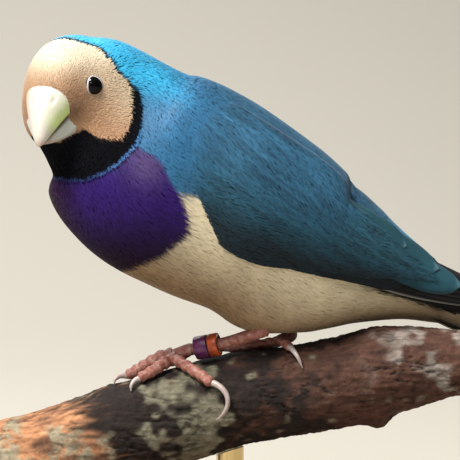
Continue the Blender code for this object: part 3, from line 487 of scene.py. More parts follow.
def turned_out(points, faces):
    """The faces of closed forms, turned so that they look outwards."""
    volume = 0.0
    for block in faces:
        corners = points[block]
        for k in range(1, block.shape[1] - 1):
            cross = np.cross(corners[:, k], corners[:, k + 1])
            volume += float((corners[:, 0] * cross).sum())
    return [block[:, ::-1] for block in faces] if volume < 0.0 else faces


def make_piece(name, points, faces, material, slot, replaces=(), colour=None, bake=None, values=None,
               looks=None):
    """One object of the bird or its stand, from places in millimetres and faces as rows of corners."""
    points = np.asarray(points, float)
    faces = turned_out(points - points.mean(axis=0), [np.asarray(block, np.int64) for block in faces])
    corners = np.concatenate([block.ravel() for block in faces]).astype(np.int32)
    sizes = np.concatenate([np.full(len(block), block.shape[1]) for block in faces])
    mesh = bpy.data.meshes.new(name)
    mesh.vertices.add(len(points))
    mesh.vertices.foreach_set("co", ((points + (0.0, 0.0, CENTRE_HEIGHT)) * MM).astype(np.float32).ravel())
    mesh.loops.add(len(corners))
    mesh.loops.foreach_set("vertex_index", corners)
    mesh.polygons.add(len(sizes))
    mesh.polygons.foreach_set("loop_start", (np.cumsum(sizes) - sizes).astype(np.int32))
    mesh.polygons.foreach_set("use_smooth", np.ones(len(sizes), bool))
    mesh.update(calc_edges=True)
    if colour is not None:
        layer = mesh.attributes.new("plumage", "FLOAT_COLOR", "POINT")
        full = np.ones((len(points), 4), np.float32)
        full[:, :3] = np.clip(colour, 0.0, 1.0)
        layer.data.foreach_set("color", full.ravel())
    for key, numbers in (values or {}).items():
        layer = mesh.attributes.new(key, "FLOAT", "POINT")
        layer.data.foreach_set("value", np.asarray(numbers, np.float32))
    if bake is not None:
        layer = mesh.uv_layers.new(name="OFBake")
        layer.data.foreach_set("uv", np.asarray(bake, np.float32)[corners].ravel())
    if looks is not None:
        mesh.normals_split_custom_set_from_vertices(looks.tolist())
    mesh.materials.append(material)
    item = bpy.data.objects.new(name, mesh)
    bpy.context.scene.collection.objects.link(item)
    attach(item, "root")
    if replaces:
        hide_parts(*replaces)
    return item


def gather(parts):
    """Join (points, face blocks, ...) parts to one set of points and face blocks, and stack what follows."""
    points = []
    faces = []
    extras = [[] for _ in parts[0][2:]]
    start = 0
    for part in parts:
        points.append(part[0])
        faces += [np.asarray(block) + start for block in part[1]]
        for box, extra in zip(extras, part[2:]):
            box.append(extra)
        start += len(part[0])
    return (np.concatenate(points), faces, *[np.concatenate(box) for box in extras])


def joined_rims(rows, around):
    """Faces that join the last ring of a grid to its first, so that the grid closes on itself."""
    ring = np.arange(around)
    onward = (ring + 1) % around
    last = (rows - 1) * around
    return np.stack([ring + last, onward + last, onward, ring], -1)


def plate_ends(rows, columns):
    """Faces that close both ends of a flat plate given as closed rows of points."""
    j = np.arange(columns // 2 - 1)
    first = np.stack([j, j + 1, columns - 2 - j, columns - 1 - j], -1)
    return [first, (first + (rows - 1) * columns)[:, ::-1]]


def plate(top, bottom, across, along):
    """A thin closed plate from its two faces, with the share across and along it of every point."""
    rings = np.concatenate([top, bottom[:, ::-1]], axis=1)
    rows, columns = rings.shape[:2]
    faces = [grid_faces(rows, columns), *plate_ends(rows, columns)]
    span = np.concatenate([across, across[::-1]])[None] * np.ones((rows, 1))
    return rings, faces, span, along[:, None] * np.ones((1, columns))


def tube(points, radii, sides):
    """A round tube through many points; radii are one for each point or one for each point and side."""
    points = np.asarray(points, float)
    along = unit(np.gradient(points, axis=0))
    radii = np.asarray(radii, float)
    if radii.ndim == 1:
        radii = np.repeat(radii[:, None], sides, axis=1)
    across = np.cross(along[0], (0.0, 0.0, 1.0))
    if np.linalg.norm(across) < 0.1:
        across = np.cross(along[0], (1.0, 0.0, 0.0))
    angles = 2.0 * math.pi * np.arange(sides) / sides
    rings = []
    for place, way, radius in zip(points, along, radii):
        across = unit(across - way * (across @ way))
        over = np.cross(across, way)
        reach = across * np.cos(angles)[:, None] + over * np.sin(angles)[:, None]
        rings.append(place + reach * radius[:, None])
    start = points[0] - along[0] * radii[0].mean() * 0.5
    end = points[-1] + along[-1] * radii[-1].mean() * 0.9
    return np.concatenate([np.concatenate(rings), [start, end]]), closed_faces(len(points), sides)


# The body's surface

def section(table, x):
    """Middles, directions, ups and reaches of cross-sections of a lofted form."""
    low = np.maximum(x - 0.5, table[0][0])
    high = np.minimum(x + 0.5, table[-1][0])
    rise = (smooth(table, high)[..., 0] - smooth(table, low)[..., 0]) / (high - low)
    along = unit(np.stack([np.ones_like(x), np.full_like(x, NOD), rise], -1))
    up = np.cross(SIDE, along)
    values = smooth(table, x)
    return np.stack([x, NOD * x, values[..., 0]], -1), along, up, values[..., 1:]


def oval(angle, reaches):
    """How far a cross-section reaches from its middle at an angle."""
    rise = np.sin(angle)
    wide = np.abs(np.cos(angle)) / reaches[..., 2]
    tall = np.abs(rise) / np.where(rise > 0.0, reaches[..., 0], reaches[..., 1])
    return (wide ** BODY_POWER + tall ** BODY_POWER) ** (-1.0 / BODY_POWER)


def head_axes():
    """Directions ahead of the head, to its left and up through its crown."""
    level = math.cos(HEAD_PITCH)
    ahead = np.array((-math.sin(HEAD_YAW) * level, -math.cos(HEAD_YAW) * level, -math.sin(HEAD_PITCH)))
    left = np.array((math.cos(HEAD_YAW), -math.sin(HEAD_YAW), 0.0))
    return ahead, left, np.cross(ahead, left)


AHEAD, LEFT, CROWN = head_axes()
HEAD_AXES = np.array((AHEAD, LEFT, CROWN))


def on_head(point):
    """The place of a point given in the head's own directions."""
    return HEAD_MIDDLE + np.asarray(point, float) @ HEAD_AXES


SWELLINGS = [(on_head(place), np.array(reach), HEAD_AXES) for place, reach in HEAD_FORMS]
SWELLINGS += [(np.array(place), np.array(reach), np.eye(3)) for place, reach in THIGH_FORMS]


def outside(points, own):
    """How far points lie outside the body; own is how far they lie outside its lofted form."""
    total = np.exp(-own / BLEND)
    for middle, reach, directions in SWELLINGS:
        local = (points - middle) @ directions.T / reach
        near = np.linalg.norm(local, axis=-1)
        total += np.exp(-near * (near - 1.0) / np.linalg.norm(local / reach, axis=-1) / BLEND)
    return -BLEND * np.log(total)


def swollen(middle, directions, own):
    """How far rays run before they leave the body."""
    def out_at(reach):
        return outside(middle + directions * reach[..., None], reach - own)
    trial = own + (FARTHEST - own) * np.linspace(0.0, 1.0, SCAN_STEPS)[:, None]
    inside = out_at(trial) < 0.0
    last = SCAN_STEPS - 1 - np.argmax(inside[::-1], axis=0)
    last = np.minimum(np.where(inside.any(axis=0), last, 0), SCAN_STEPS - 2)
    columns = np.arange(len(own))
    low = trial[last, columns]
    high = trial[last + 1, columns]
    for _ in range(HALVINGS):
        half = 0.5 * (low + high)
        held = out_at(half) < 0.0
        low = np.where(held, half, low)
        high = np.where(held, high, half)
    return 0.5 * (low + high)


def loft(table, x, angle, lift=0.0):
    """Points of a lofted form: angle 0 is the bird's left side and a quarter turn its back."""
    shape = np.broadcast(x, angle).shape
    x = np.broadcast_to(x, shape).astype(float).ravel()
    angle = np.broadcast_to(angle, shape).astype(float).ravel()
    lift = np.broadcast_to(lift, shape).astype(float).ravel()
    middle, _, up, reaches = section(table, x)
    directions = SIDE * np.cos(angle)[:, None] + up * np.sin(angle)[:, None]
    reach = swollen(middle, directions, oval(angle, reaches)) + lift
    return (middle + directions * reach[:, None]).reshape(*shape, 3)


def cap(polar, angle):
    """Points in front of the first cross-section, from its edge at a quarter turn to the pole at 0."""
    x = np.full(len(angle), BODY[0][0])
    middle, along, up, reaches = section(BODY, x)
    out = SIDE * np.cos(angle)[:, None] + up * np.sin(angle)[:, None]
    directions = out * np.sin(polar)[:, None] - along * np.cos(polar)[:, None]
    own = 1.0 / np.hypot(np.sin(polar) / oval(angle, reaches), np.cos(polar) / BREAST_REACH)
    return middle + directions * swollen(middle, directions, own)[:, None]


def body_grid():
    """The body's surface as rings of points, with its front pole and its rear tip."""
    angles = 2.0 * math.pi * np.arange(SKIN_AROUND) / SKIN_AROUND
    polars = 0.5 * math.pi * np.arange(1, SKIN_CAP_STEPS) / SKIN_CAP_STEPS
    front = cap(np.repeat(polars, SKIN_AROUND), np.tile(angles, len(polars))).reshape(-1, SKIN_AROUND, 3)
    steps = round((BODY[-1][0] - BODY[0][0]) / SKIN_STEP)
    stations = np.linspace(BODY[0][0], BODY[-1][0], steps + 1)
    rings = np.concatenate([front, loft(BODY, stations[:, None], angles[None])])
    pole = cap(np.zeros(1), np.zeros(1))[0]
    middle, along = section(BODY, np.array([BODY[-1][0]]))[:2]
    return rings, pole, (middle + along * BODY_TIP)[0]


def grid_normals(rings, around=True):
    """Outward directions of a surface given as rows of points."""
    down = np.gradient(rings, axis=0)
    if around:
        across = np.roll(rings, -1, axis=1) - np.roll(rings, 1, axis=1)
    else:
        across = np.gradient(rings, axis=1)
    return unit(np.cross(across, down))


BODY_RINGS, BODY_POLE, BODY_END = body_grid()
BODY_NORMALS = facing(grid_normals(BODY_RINGS), BODY_RINGS - BODY_RINGS.mean(axis=1, keepdims=True))
BODY_TREE = BVHTree.FromPolygons(
    [tuple(point) for point in (*BODY_RINGS.reshape(-1, 3), BODY_POLE)],
    grid_faces(len(BODY_RINGS), SKIN_AROUND).tolist()
    + [(k, (k + 1) % SKIN_AROUND, BODY_RINGS.size // 3) for k in range(SKIN_AROUND)],
)


# The markings

def shades():
    return bpy.context.scene.finch_colours


def head_places(points):
    """Places ahead, aside and up of the middle of the head."""
    return (points - HEAD_MIDDLE) @ HEAD_AXES.T


def marks(points):
    """Signed distances from the edges of the mask, the black of the throat and the violet of the breast."""
    head = head_places(points)
    head[:, 1] = np.where(head[:, 1] < 0.0, -head[:, 1] * FAR_CHEEK, head[:, 1])
    face = on_head(head)[:, (0, 2)]
    aside = np.minimum(points @ SIDE, 0.0)[:, None]
    body = (points - 2.0 * aside * SIDE)[:, (0, 2)]
    return within(face, MASK_OUTLINE), within(face, BLACK_OUTLINE), within(body, VIOLET_OUTLINE)


def turn_on_body(points):
    """Station along the body and angle up round it, in degrees, of places near its surface."""
    x = np.clip(points[:, 0], BODY[0][0], BODY[-1][0])
    for _ in range(4):
        middle, along, up = section(BODY, x)[:3]
        x = np.clip(x + ((points - middle) * along).sum(axis=1) * along[:, 0], BODY[0][0], BODY[-1][0])
    offset = points - middle
    rise = (offset * up).sum(axis=1)
    out = np.abs(offset @ SIDE)
    return x, np.degrees(np.arctan2(rise, out))


def blue(points, x, away):
    """The blue of the upper parts: brilliant behind the mask, then mid blue, then steel blue on the back."""
    tone = shades()
    low = soft(26.0 - points[..., 2], 0.0, 7.0)
    colour = mix(tone.nape, tone.neck, np.maximum(soft(away, 2.0, 9.0), low))
    colour = mix(colour, tone.back, soft(away, 6.0, 15.0))
    return mix(colour, tone.rump, soft(x, 17.0, 26.0))


def plumage(points):
    """The colour of the plumage at places on the body, and the region of the coat each lies in."""
    tone = shades()
    mask, black, violet = marks(points)
    x, degrees = turn_on_body(points)
    wander = noise(points, 1.6, 3) * 0.25
    away = -np.maximum(mask, black)
    flank = degrees - np.interp(x, (-10.0, -2.0, 20.0, 34.0), (-9.0, 2.0, 6.0, 0.0)) + wander * 6.0
    upper = soft(flank, -2.5, 2.5)
    belly = mix(tone.belly, tone.vent, soft(x, 12.0, 34.0))
    # Darker tan towards the underside: partly the bird's own tan, partly painted shade where the belly turns
    # down
    belly = mix(belly, tone.underside_tan_and_shade, soft(-degrees, 20.0, 70.0))
    colour = mix(belly, blue(points, x, away), upper)
    tail_side = soft(points[:, 2] - np.interp(x, *zip(*TAIL_SIDE)), -0.3, 0.5) * soft(x, 17.0, 22.0)
    colour = mix(colour, tone.quill, tail_side * soft(32.0 - degrees, 0.0, 8.0))
    region = np.where(upper > 0.5, "back", "belly").astype("<U8")
    region[(upper > 0.5) & (away < 11.0)] = "nape"
    region[x > 24.0] = "rump"

    # Darker violet low on the breast, a painted shade where it turns under
    breast = mix(tone.breast, tone.breast_low_shade, soft(-points[:, 2], -7.0, 4.0))
    edge = soft(-points[:, 0], 22.0, 29.0)
    breast = mix(breast, tone.breast_edge, edge)
    # A painted highlight of mauve sheen high on the breast
    off_highlight = (points[:, (0, 2)] - BREAST_HIGHLIGHT) / BREAST_HIGHLIGHT_SIZE
    gloss = np.exp(-off_highlight[:, 0] ** 2 - off_highlight[:, 1] ** 2)
    breast = mix(breast, tone.breast_highlight, gloss * 0.9)
    chest = soft(violet + wander * 1.4, -0.35, 0.45)
    colour = mix(colour, breast, chest)
    region[chest > 0.5] = "breast"

    ring_edge = -black
    ring = soft(ring_edge, -0.1, 0.1) * (1.0 - soft(ring_edge, 0.35, 0.65)) * (mask < 0.0)
    ring_tone = mix(tone.ring, tone.ring_dark, soft(-points[:, 0], 16.0, 22.0))
    below = soft(17.5 - points[:, 2], 0.0, 3.0)
    colour = mix(colour, ring_tone, ring * below)
    region[ring * below > 0.2] = "face"

    dark = soft(black + wander * 0.3, -0.12, 0.12)
    line = soft(mask, -0.42, -0.28) * (1.0 - soft(mask, -0.08, 0.06)) * soft(points[:, 2], 21.0, 23.0)
    dark = np.maximum(dark, line)
    colour = mix(colour, tone.throat, dark)
    region[dark > 0.5] = "throat"
    region[line > 0.3] = "face"

    head = head_places(points)
    front = soft(head[:, 0], 0.0, 5.5) * soft(head[:, 2], 7.5, 0.5)
    # Lighter cream towards the crown: partly the mask's own cream, partly a painted highlight on the
    # forehead
    face = mix(tone.cheek, tone.forehead, soft(head[:, 2], 2.0, 6.0))
    face = mix(face, tone.lores, front * 0.9)
    patch = np.linalg.norm((head - DARK_PATCH) / DARK_PATCH_SIZE, axis=1)
    face = mix(face, tone.gape, np.exp(-patch ** 2) * (0.5 + 0.4 * noise(points, 0.5, 17)))
    eye_gap = np.linalg.norm(head - PALE_EYE_PATCH, axis=1)
    face = mix(face, tone.cheek, np.exp(-(eye_gap / 1.9) ** 2) * 0.5)
    gape = np.linalg.norm(head - GAPE_PLACE, axis=1)
    face = mix(face, tone.gape, np.exp(-(gape / 1.5) ** 2) * 0.8)
    covered = soft(mask + wander * 0.35, -0.1, 0.1)
    colour = mix(colour, face, covered)
    region[covered > 0.5] = "face"
    return colour, region


def lie_of_coat(points, normals):
    """The way the feathers lie: away from the bill over the head, then back along the body."""
    x, degrees = turn_on_body(points)
    along = section(BODY, x)[1]
    steep = 0.9 * soft(degrees, 5.0, 35.0) * (1.0 - soft(x, 6.0, 26.0)) + 0.35 * (1.0 - soft(x, -14.0, -4.0))
    body = unit(along + steep[:, None] * (0.0, 0.0, -1.0))
    head = unit(points - on_head(BILL_BASE + (0.5, 0.0, 0.0)))
    share = 1.0 - soft(np.linalg.norm(points - HEAD_MIDDLE, axis=1), *HEAD_LIE)
    lie = body * (1.0 - share[:, None]) + head * share[:, None]
    return unit(lie - normals * (lie * normals).sum(axis=1, keepdims=True))


# Materials

class Nodes:
    """Short ways to lay out a material's nodes."""

    def __init__(self, name, roughness, **sockets):
        self.material = bpy.data.materials.new(name)
        self.material.use_nodes = True
        self.tree = self.material.node_tree
        self.shader = self.tree.nodes["Principled BSDF"]
        self.set(self.shader, Roughness=roughness, **sockets)

    def set(self, node, **sockets):
        for key, value in sockets.items():
            node.inputs[key.replace("_", " ")].default_value = value
        return node

    def add(self, kind, **sockets):
        return self.set(self.tree.nodes.new(kind), **sockets)

    def link(self, source, output, target, socket):
        self.tree.links.new(source.outputs[output], target.inputs[socket])

    def attribute(self, name):
        node = self.add("ShaderNodeAttribute")
        node.attribute_name = name
        return node

    def grain(self, scale, detail=4.0, stretch=None):
        """Noise in the piece's own coordinates, stretched along an axis."""
        place = self.add("ShaderNodeTexCoord")
        source = self.add("ShaderNodeTexNoise", Scale=scale, Detail=detail, Roughness=0.6)
        if stretch is None:
            self.link(place, "Object", source, "Vector")
        else:
            mapping = self.add("ShaderNodeMapping", Scale=stretch)
            self.link(place, "Object", mapping, "Vector")
            self.link(mapping, "Vector", source, "Vector")
        return source

    def ramp(self, source, output, stops):
        node = self.add("ShaderNodeValToRGB")
        elements = node.color_ramp.elements
        for spot, (position, colour) in zip(elements, (stops[0], stops[-1])):
            spot.position = position
            spot.color = (*colour, 1.0)
        for position, colour in stops[1:-1]:
            elements.new(position).color = (*colour, 1.0)
        self.link(source, output, node, "Fac")
        return node

    def multiply(self, first, second, share=1.0):
        """The colour of one node's output times another's."""
        node = self.tree.nodes.new("ShaderNodeMix")
        node.data_type = "RGBA"
        node.blend_type = "MULTIPLY"
        node.inputs[0].default_value = share
        self.tree.links.new(first, node.inputs[6])
        self.tree.links.new(second, node.inputs[7])
        return node.outputs[2]

    def colour(self, output):
        self.tree.links.new(output, self.shader.inputs["Base Color"])

    def paint(self):
        """Colour the material as its points are painted."""
        self.colour(self.attribute("plumage").outputs["Color"])

    def tones(self, source, stops):
        """Colour the material by a ramp over another node's values."""
        self.colour(self.ramp(source, "Fac", stops).outputs["Color"])

    def bump(self, output, strength, distance):
        node = self.add("ShaderNodeBump", Strength=strength, Distance=distance)
        self.tree.links.new(output, node.inputs["Height"])
        self.link(node, "Normal", self.shader, "Normal")


def dimmed(colour, share):
    return tuple(value * share for value in colour)


GREYS = ((0.25, (0.8, 0.8, 0.8)), (0.5, (0.96, 0.96, 0.96)), (0.75, (1.0, 1.0, 1.0)))
# Roughness, sheen and gloss of the coat, region by region
FINISHES = {
    "face": (0.7, 0.08, 0.15),
    "throat": (0.85, 0.0, 0.04),
    "nape": (0.5, 0.1, 0.3),
    "back": (0.55, 0.08, 0.25),
    "breast": (0.6, 0.03, 0.12),
    "belly": (0.62, 0.1, 0.2),
    "rump": (0.58, 0.08, 0.22),
}


def plumage_material(name, roughness=0.62, sheen=0.1, gloss=0.22):
    """Feathers: the marking's colour, mottled a little, with a soft sheen."""
    nodes = Nodes(name, roughness, Sheen_Weight=sheen, Sheen_Roughness=0.5, Specular_IOR_Level=gloss)
    paint = nodes.attribute("plumage")
    mottle = nodes.ramp(nodes.grain(900.0), "Fac", GREYS)
    nodes.colour(nodes.multiply(paint.outputs["Color"], mottle.outputs["Color"], 0.6))
    return nodes.material


def vane_material(name):
    """Flight feathers: painted, with fine barbs that slant away from the shaft."""
    nodes = Nodes(name, 0.55, Sheen_Weight=0.03, Specular_IOR_Level=0.18)
    paint = nodes.attribute("plumage")
    barb = nodes.attribute("barb")
    join = nodes.add("ShaderNodeCombineXYZ")
    nodes.link(barb, "Fac", join, "X")
    wave = nodes.add("ShaderNodeTexWave", Scale=1.0, Distortion=0.6, Detail=1.0)
    nodes.link(join, "Vector", wave, "Vector")
    stripes = nodes.ramp(wave, "Fac", ((0.0, (0.78, 0.78, 0.78)), (1.0, (1.0, 1.0, 1.0))))
    nodes.colour(nodes.multiply(paint.outputs["Color"], stripes.outputs["Color"], 0.8))
    nodes.bump(wave.outputs["Fac"], 0.35, 0.00008)
    return nodes.material


# Skin and coat

def skin_points(depth_face, depth_body):
    """The body's surface, let in by the depth of the coat over it."""
    mask = marks(BODY_RINGS.reshape(-1, 3))[0].reshape(BODY_RINGS.shape[:2])
    depth = depth_body + (depth_face - depth_body) * soft(mask, -3.0, 1.0)
    taper = soft(len(BODY_RINGS) - np.arange(len(BODY_RINGS)), 0.0, 26.0)[:, None]
    return BODY_RINGS - BODY_NORMALS * (depth * taper)[..., None]


def make_skin():
    """One seamless skin for the head, the neck and the body."""
    points = skin_points(FACE_DEPTH, COAT_DEPTH).reshape(-1, 3)
    points = np.concatenate([points, [BODY_POLE + (0.4, 0.0, 0.0), BODY_END]])
    faces = closed_faces(len(BODY_RINGS), SKIN_AROUND)
    # The skin a little darker than the coat, as painted shade where it shows between the tufts
    colour = plumage(points)[0] * 0.97
    make_piece("skin", points, faces, plumage_material("skin_plumage"), "belly_plumage",
               ("head", "neck", "torso", "rump"), colour)


def scatter(rings, normals, density, draw, around=True):
    """Places spread over a surface at a density to a square millimetre, with their places on its unwrap."""
    columns = rings.shape[1]
    last = columns if around else columns - 1
    i, j = (grid.ravel() for grid in np.meshgrid(np.arange(len(rings) - 1), np.arange(last), indexing="ij"))
    k = (j + 1) % columns
    a, b, c, d = rings[i, j], rings[i, k], rings[i + 1, k], rings[i + 1, j]
    area = 0.5 * np.linalg.norm(np.cross(c - a, d - b), axis=1)
    total = np.cumsum(area * density(0.25 * (a + b + c + d)))
    count = int(total[-1])
    steps = (np.arange(count) + draw.random(count)) * total[-1] / count
    at = np.minimum(np.searchsorted(total, steps), len(i) - 1)
    u = draw.random(count)[:, None]
    v = draw.random(count)[:, None]
    i, j, k = i[at], j[at], k[at]
    near = rings[i, j] * (1 - u) + rings[i, k] * u
    far = rings[i + 1, j] * (1 - u) + rings[i + 1, k] * u
    places = near * (1 - v) + far * v
    looks = unit(normals[i, j] + normals[i + 1, k])
    spread = np.stack([(j + u[:, 0]) / columns, (i + v[:, 0]) / len(rings)], -1)
    return places, looks, spread


def tuft_forms(tree, roots, normals, lies, sizes, draw):
    """Closed leaf-shaped tufts on a surface; sizes are length, width, thickness and rise for each."""
    count = len(roots)
    length, width, thick, rise = [column * draw.uniform(0.8, 1.2, count) for column in sizes.T]
    turn = draw.normal(0.0, 0.08, count)[:, None]
    lies = unit(lies * np.cos(turn) + np.cross(normals, lies) * np.sin(turn))
    tips = roots + lies * length[:, None]
    tip_normals = normals.copy()
    for n, (tip, reach) in enumerate(zip(tips.tolist(), length)):
        place, normal, _, _ = tree.find_nearest(tip, float(reach) + 1.0)
        if place is not None:
            tips[n] = place
            tip_normals[n] = normal
    facing = (tip_normals * normals).sum(axis=1) < 0.0
    tip_normals[facing] *= -1.0
    chord = tips - roots
    reach = np.linalg.norm(chord, axis=1, keepdims=True)
    bend = ((tip_normals - normals) * unit(chord)).sum(axis=1, keepdims=True)
    middle = 0.5 * (roots + tips) + unit(normals + tip_normals) * reach * bend * 0.25
    side = unit(np.cross(normals, chord))
    sections = []
    looks = []
    for t, share, lift in TUFT_STATIONS:
        spine = roots * (1 - t) ** 2 + middle * 2 * t * (1 - t) + tips * t ** 2
        over = unit(normals * (1 - t) + tip_normals * t)
        height = np.where(lift < 0.0, -TUFT_SINK, rise * lift)[:, None]
        spine = spine + over * height
        if share == 0.0:
            sections.append(spine[:, None])
            looks.append(over[:, None])
            continue
        looks.append(np.stack([unit(over - side * TUFT_ROUND), unit(over + side * TUFT_ROUND), over], 1))
        half = side * (0.5 * width * share)[:, None]
        ridge = over * (thick * (0.4 + 0.6 * share))[:, None]
        sections.append(np.stack([spine - half - ridge * 0.4, spine + half - ridge * 0.4, spine + ridge], 1))
    return np.concatenate(sections, axis=1), np.concatenate(looks, axis=1)


TUFT_SHAPE = (
    (0, 2, 1), (0, 1, 4), (0, 4, 3), (1, 2, 5), (1, 5, 4),
    (2, 0, 3), (2, 3, 5), (3, 4, 6), (4, 5, 6), (5, 3, 6),
)
TUFT_UV = np.array((
    (-0.5, -0.5), (0.5, -0.5), (0.0, -0.5), (-0.5, 0.0), (0.5, 0.0), (0.0, 0.0), (0.0, 0.5),
)) * TUFT_PATCH
# Brightness at each corner of a tuft: painted shade at its root, where it lies under its neighbours, and a
# painted highlight along its ridge and at its tip
TUFT_TONES = np.array((0.92, 0.92, 0.93, 0.97, 0.97, 1.0, 1.04))
# How dark the darker tufts are that lie here and there, a painted shade that stands for gaps between
# feathers
SHADED_GAP_TUFT = 0.72


def make_tufts(name, forms, looks, colours, spread, material, slot, draw, vary=0.09):
    """Coat pieces from tufts, each under the largest count of one piece."""
    pieces = max(1, math.ceil(len(forms) / MOST_TUFTS))
    for number in range(pieces):
        part = slice(number * len(forms) // pieces, (number + 1) * len(forms) // pieces)
        points = forms[part]
        count = len(points)
        faces = (np.arange(count)[:, None, None] * len(TUFT_UV) + np.array(TUFT_SHAPE)[None]).reshape(-1, 3)
        tone = draw.normal(1.0, vary, (count, 1, 1))
        # Some tufts, picked at random, darkened as painted shade of the gaps between feathers
        tone = tone * np.where(draw.random((count, 1, 1)) < 2.0 * vary, SHADED_GAP_TUFT, 1.0)
        tone = tone * TUFT_TONES[None, :, None]
        colour = (colours[part][:, None] * tone).reshape(-1, 3)
        bake = (0.01 + 0.98 * spread[part][:, None] + TUFT_UV[None]).reshape(-1, 2)
        label = name if pieces == 1 else f"{name}_{number + 1}"
        make_piece(label, points.reshape(-1, 3), [faces], material, slot, (), colour, bake,
                   looks=looks[part].reshape(-1, 3))


def make_coat():
    """The small feathers of the head and body, region by region."""
    draw = np.random.default_rng(21)
    surface = BODY_RINGS
    share = bpy.context.scene.finch_sizes.coat_density
    rules = {name: np.array(row) for name, row in COAT.items()}

    def density(points):
        region = plumage(points)[1]
        dense = np.array([rules[name][0] for name in region]) * share
        return dense * np.where(hidden(points), 0.0, 1.0)

    roots, normals, spread = scatter(surface, BODY_NORMALS, density, draw)
    colour, region = plumage(roots)
    sizes = np.array([rules[name][1:] for name in region])
    sizes[:, :2] *= bpy.context.scene.finch_sizes.tuft_size
    near_eye = np.min([np.linalg.norm(roots - middle, axis=1) for middle, looks in eye_frames()], axis=0)
    keep = near_eye > bpy.context.scene.finch_sizes.eye_radius + EYE_RIM
    sizes[:, 0] *= np.clip(EYE_TUFT_SHARE + 0.3 * (near_eye - 1.8), EYE_TUFT_SHARE, 1.0)
    bill = head_places(roots) - BILL_BASE
    keep &= ~((np.hypot(bill[:, 1], bill[:, 2] + 1.0) < BILL_RIM) & (bill[:, 0] > 0.0))
    skin = roots - normals * 0.1
    lies = lie_of_coat(roots, normals)
    forms, looks = tuft_forms(BODY_TREE, skin[keep], normals[keep], lies[keep], sizes[keep], draw)
    colour = colour[keep] * (1.0 + 0.12 * noise(roots[keep], 2.4, 5))[:, None]
    region = region[keep]
    spread = spread[keep]
    add_undertail(rules["rump"], share, draw)
    for name in COAT:
        chosen = region == name
        finish = plumage_material("feathers_" + name, *FINISHES[name])
        make_tufts("coat_" + name, forms[chosen], looks[chosen], colour[chosen], spread[chosen],
                   finish, COAT_SLOTS[name], draw, TONE_SPREADS[name])


def add_undertail(size, share, draw):
    """The soft coverts beneath the root of the tail."""
    front = TAIL_SEAT[0][0]
    rear = TAIL_SEAT[-1][0]
    x = np.linspace(front, rear, UNDERTAIL_ALONG)[:, None]
    turn = 2.0 * math.pi * np.arange(UNDERTAIL_AROUND)[None] / UNDERTAIL_AROUND
    rings = loft(TAIL_SEAT, x, turn)
    normals = facing(grid_normals(rings), rings - rings.mean(axis=1, keepdims=True))
    tree = surface_tree(rings, grid_faces(UNDERTAIL_ALONG, UNDERTAIL_AROUND))

    def density(points):
        under = points[:, 2] < np.interp(points[:, 0], *zip(*TAIL_SIDE)) - 0.1
        fade = 1.0 - soft(points[:, 0] + 1.5 * noise(points, 1.5, 15), rear - 9.0, rear - 2.0)
        return size[0] * share * fade * under * (points[:, 0] > 33.0)

    roots, looks, spread = scatter(rings, normals, density, draw)
    tone = shades()
    # Buff under the tail, mixed at random with the underside's tan, which carries painted shade
    colour = mix(tone.vent, tone.underside_tan_and_shade, soft(draw.random(len(roots)), 0.2, 1.0) * 0.6)
    lies = unit(section(TAIL_SEAT, np.clip(roots[:, 0], front, rear))[1])
    sizes = np.repeat(size[None, 1:] * (1.25, 1.2, 1.0, 1.0), len(roots), axis=0)
    forms, faced = tuft_forms(tree, roots, looks, lies, sizes, draw)
    make_tufts("coat_undertail", forms, faced, colour, spread, plumage_material("feathers_undertail"),
               "belly_plumage", draw, 0.05)


def hidden(points):
    """True where a closed wing lies well over the body."""
    x, degrees = turn_on_body(points)
    front = smooth(WING_FRONT, degrees)[:, 0]
    low = smooth(WING_LOW, x)[:, 0]
    past_front, past_low, past_high = COAT_STOPS
    under = (degrees > low + past_low) & (degrees < WING_HIGH - past_high) & (degrees > COAT_STOP_LOW)
    return under & (x > front + past_front) & (x < COAT_STOP_REAR)


# Eyes

def eye_frames():
    """The middle of each eye and the direction it looks, the left one first."""
    frames = []
    for side in (1.0, -1.0):
        looks = AHEAD * math.cos(EYE_OUT[side]) + LEFT * side * math.sin(EYE_OUT[side])
        surface, normal = BODY_TREE.ray_cast(Vector(on_head(EYE_PLACES[side])), Vector(looks))[:2]
        normal = np.array(normal) * (1.0 if np.dot(normal, looks) > 0.0 else -1.0)
        looks = unit(looks + normal)
        frames.append((np.array(surface) - looks * EYE_DEPTHS[side], looks))
    return frames


def make_eyes():
    sizes = bpy.context.scene.finch_sizes
    for name, (middle, looks) in zip(("left", "right"), eye_frames()):
        up = unit(CROWN - looks * (CROWN @ looks))
        aside = np.cross(up, looks)
        make_eyeball(name, middle, looks, up, aside, sizes.eye_radius)
        make_lids(name, middle, looks, up, aside, sizes.eye_radius)


def on_ball(middle, looks, up, aside, polar, turn, radius):
    out = aside * np.cos(turn)[..., None] + up * np.sin(turn)[..., None]
    way = looks * np.cos(polar)[..., None] + out * np.sin(polar)[..., None]
    return middle + way * np.asarray(radius)[..., None]


def make_eyeball(name, middle, looks, up, aside, radius):
    polar = np.linspace(0.0, math.pi, BALL_ROWS + 2)[1:-1, None]
    turn = np.linspace(0.0, 2.0 * math.pi, BALL_AROUND, endpoint=False)[None]
    polar, turn = np.broadcast_arrays(polar, turn)
    points = on_ball(middle, looks, up, aside, polar, turn, np.full(polar.shape, radius)).reshape(-1, 3)
    points = np.concatenate([points, [middle + looks * radius, middle - looks * radius]])
    faces = closed_faces(BALL_ROWS, BALL_AROUND)
    tone = shades()
    away = np.degrees(np.concatenate([polar.ravel(), [0.0, math.pi]]))
    colour = mix(tone.pupil, tone.iris, soft(away, *PUPIL_EDGE))
    nodes = Nodes("eye_" + name, 0.06, Specular_IOR_Level=0.14)
    nodes.paint()
    make_piece("eyeball_" + name, points, faces, nodes.material, "eye", ("eye_" + name,), colour)


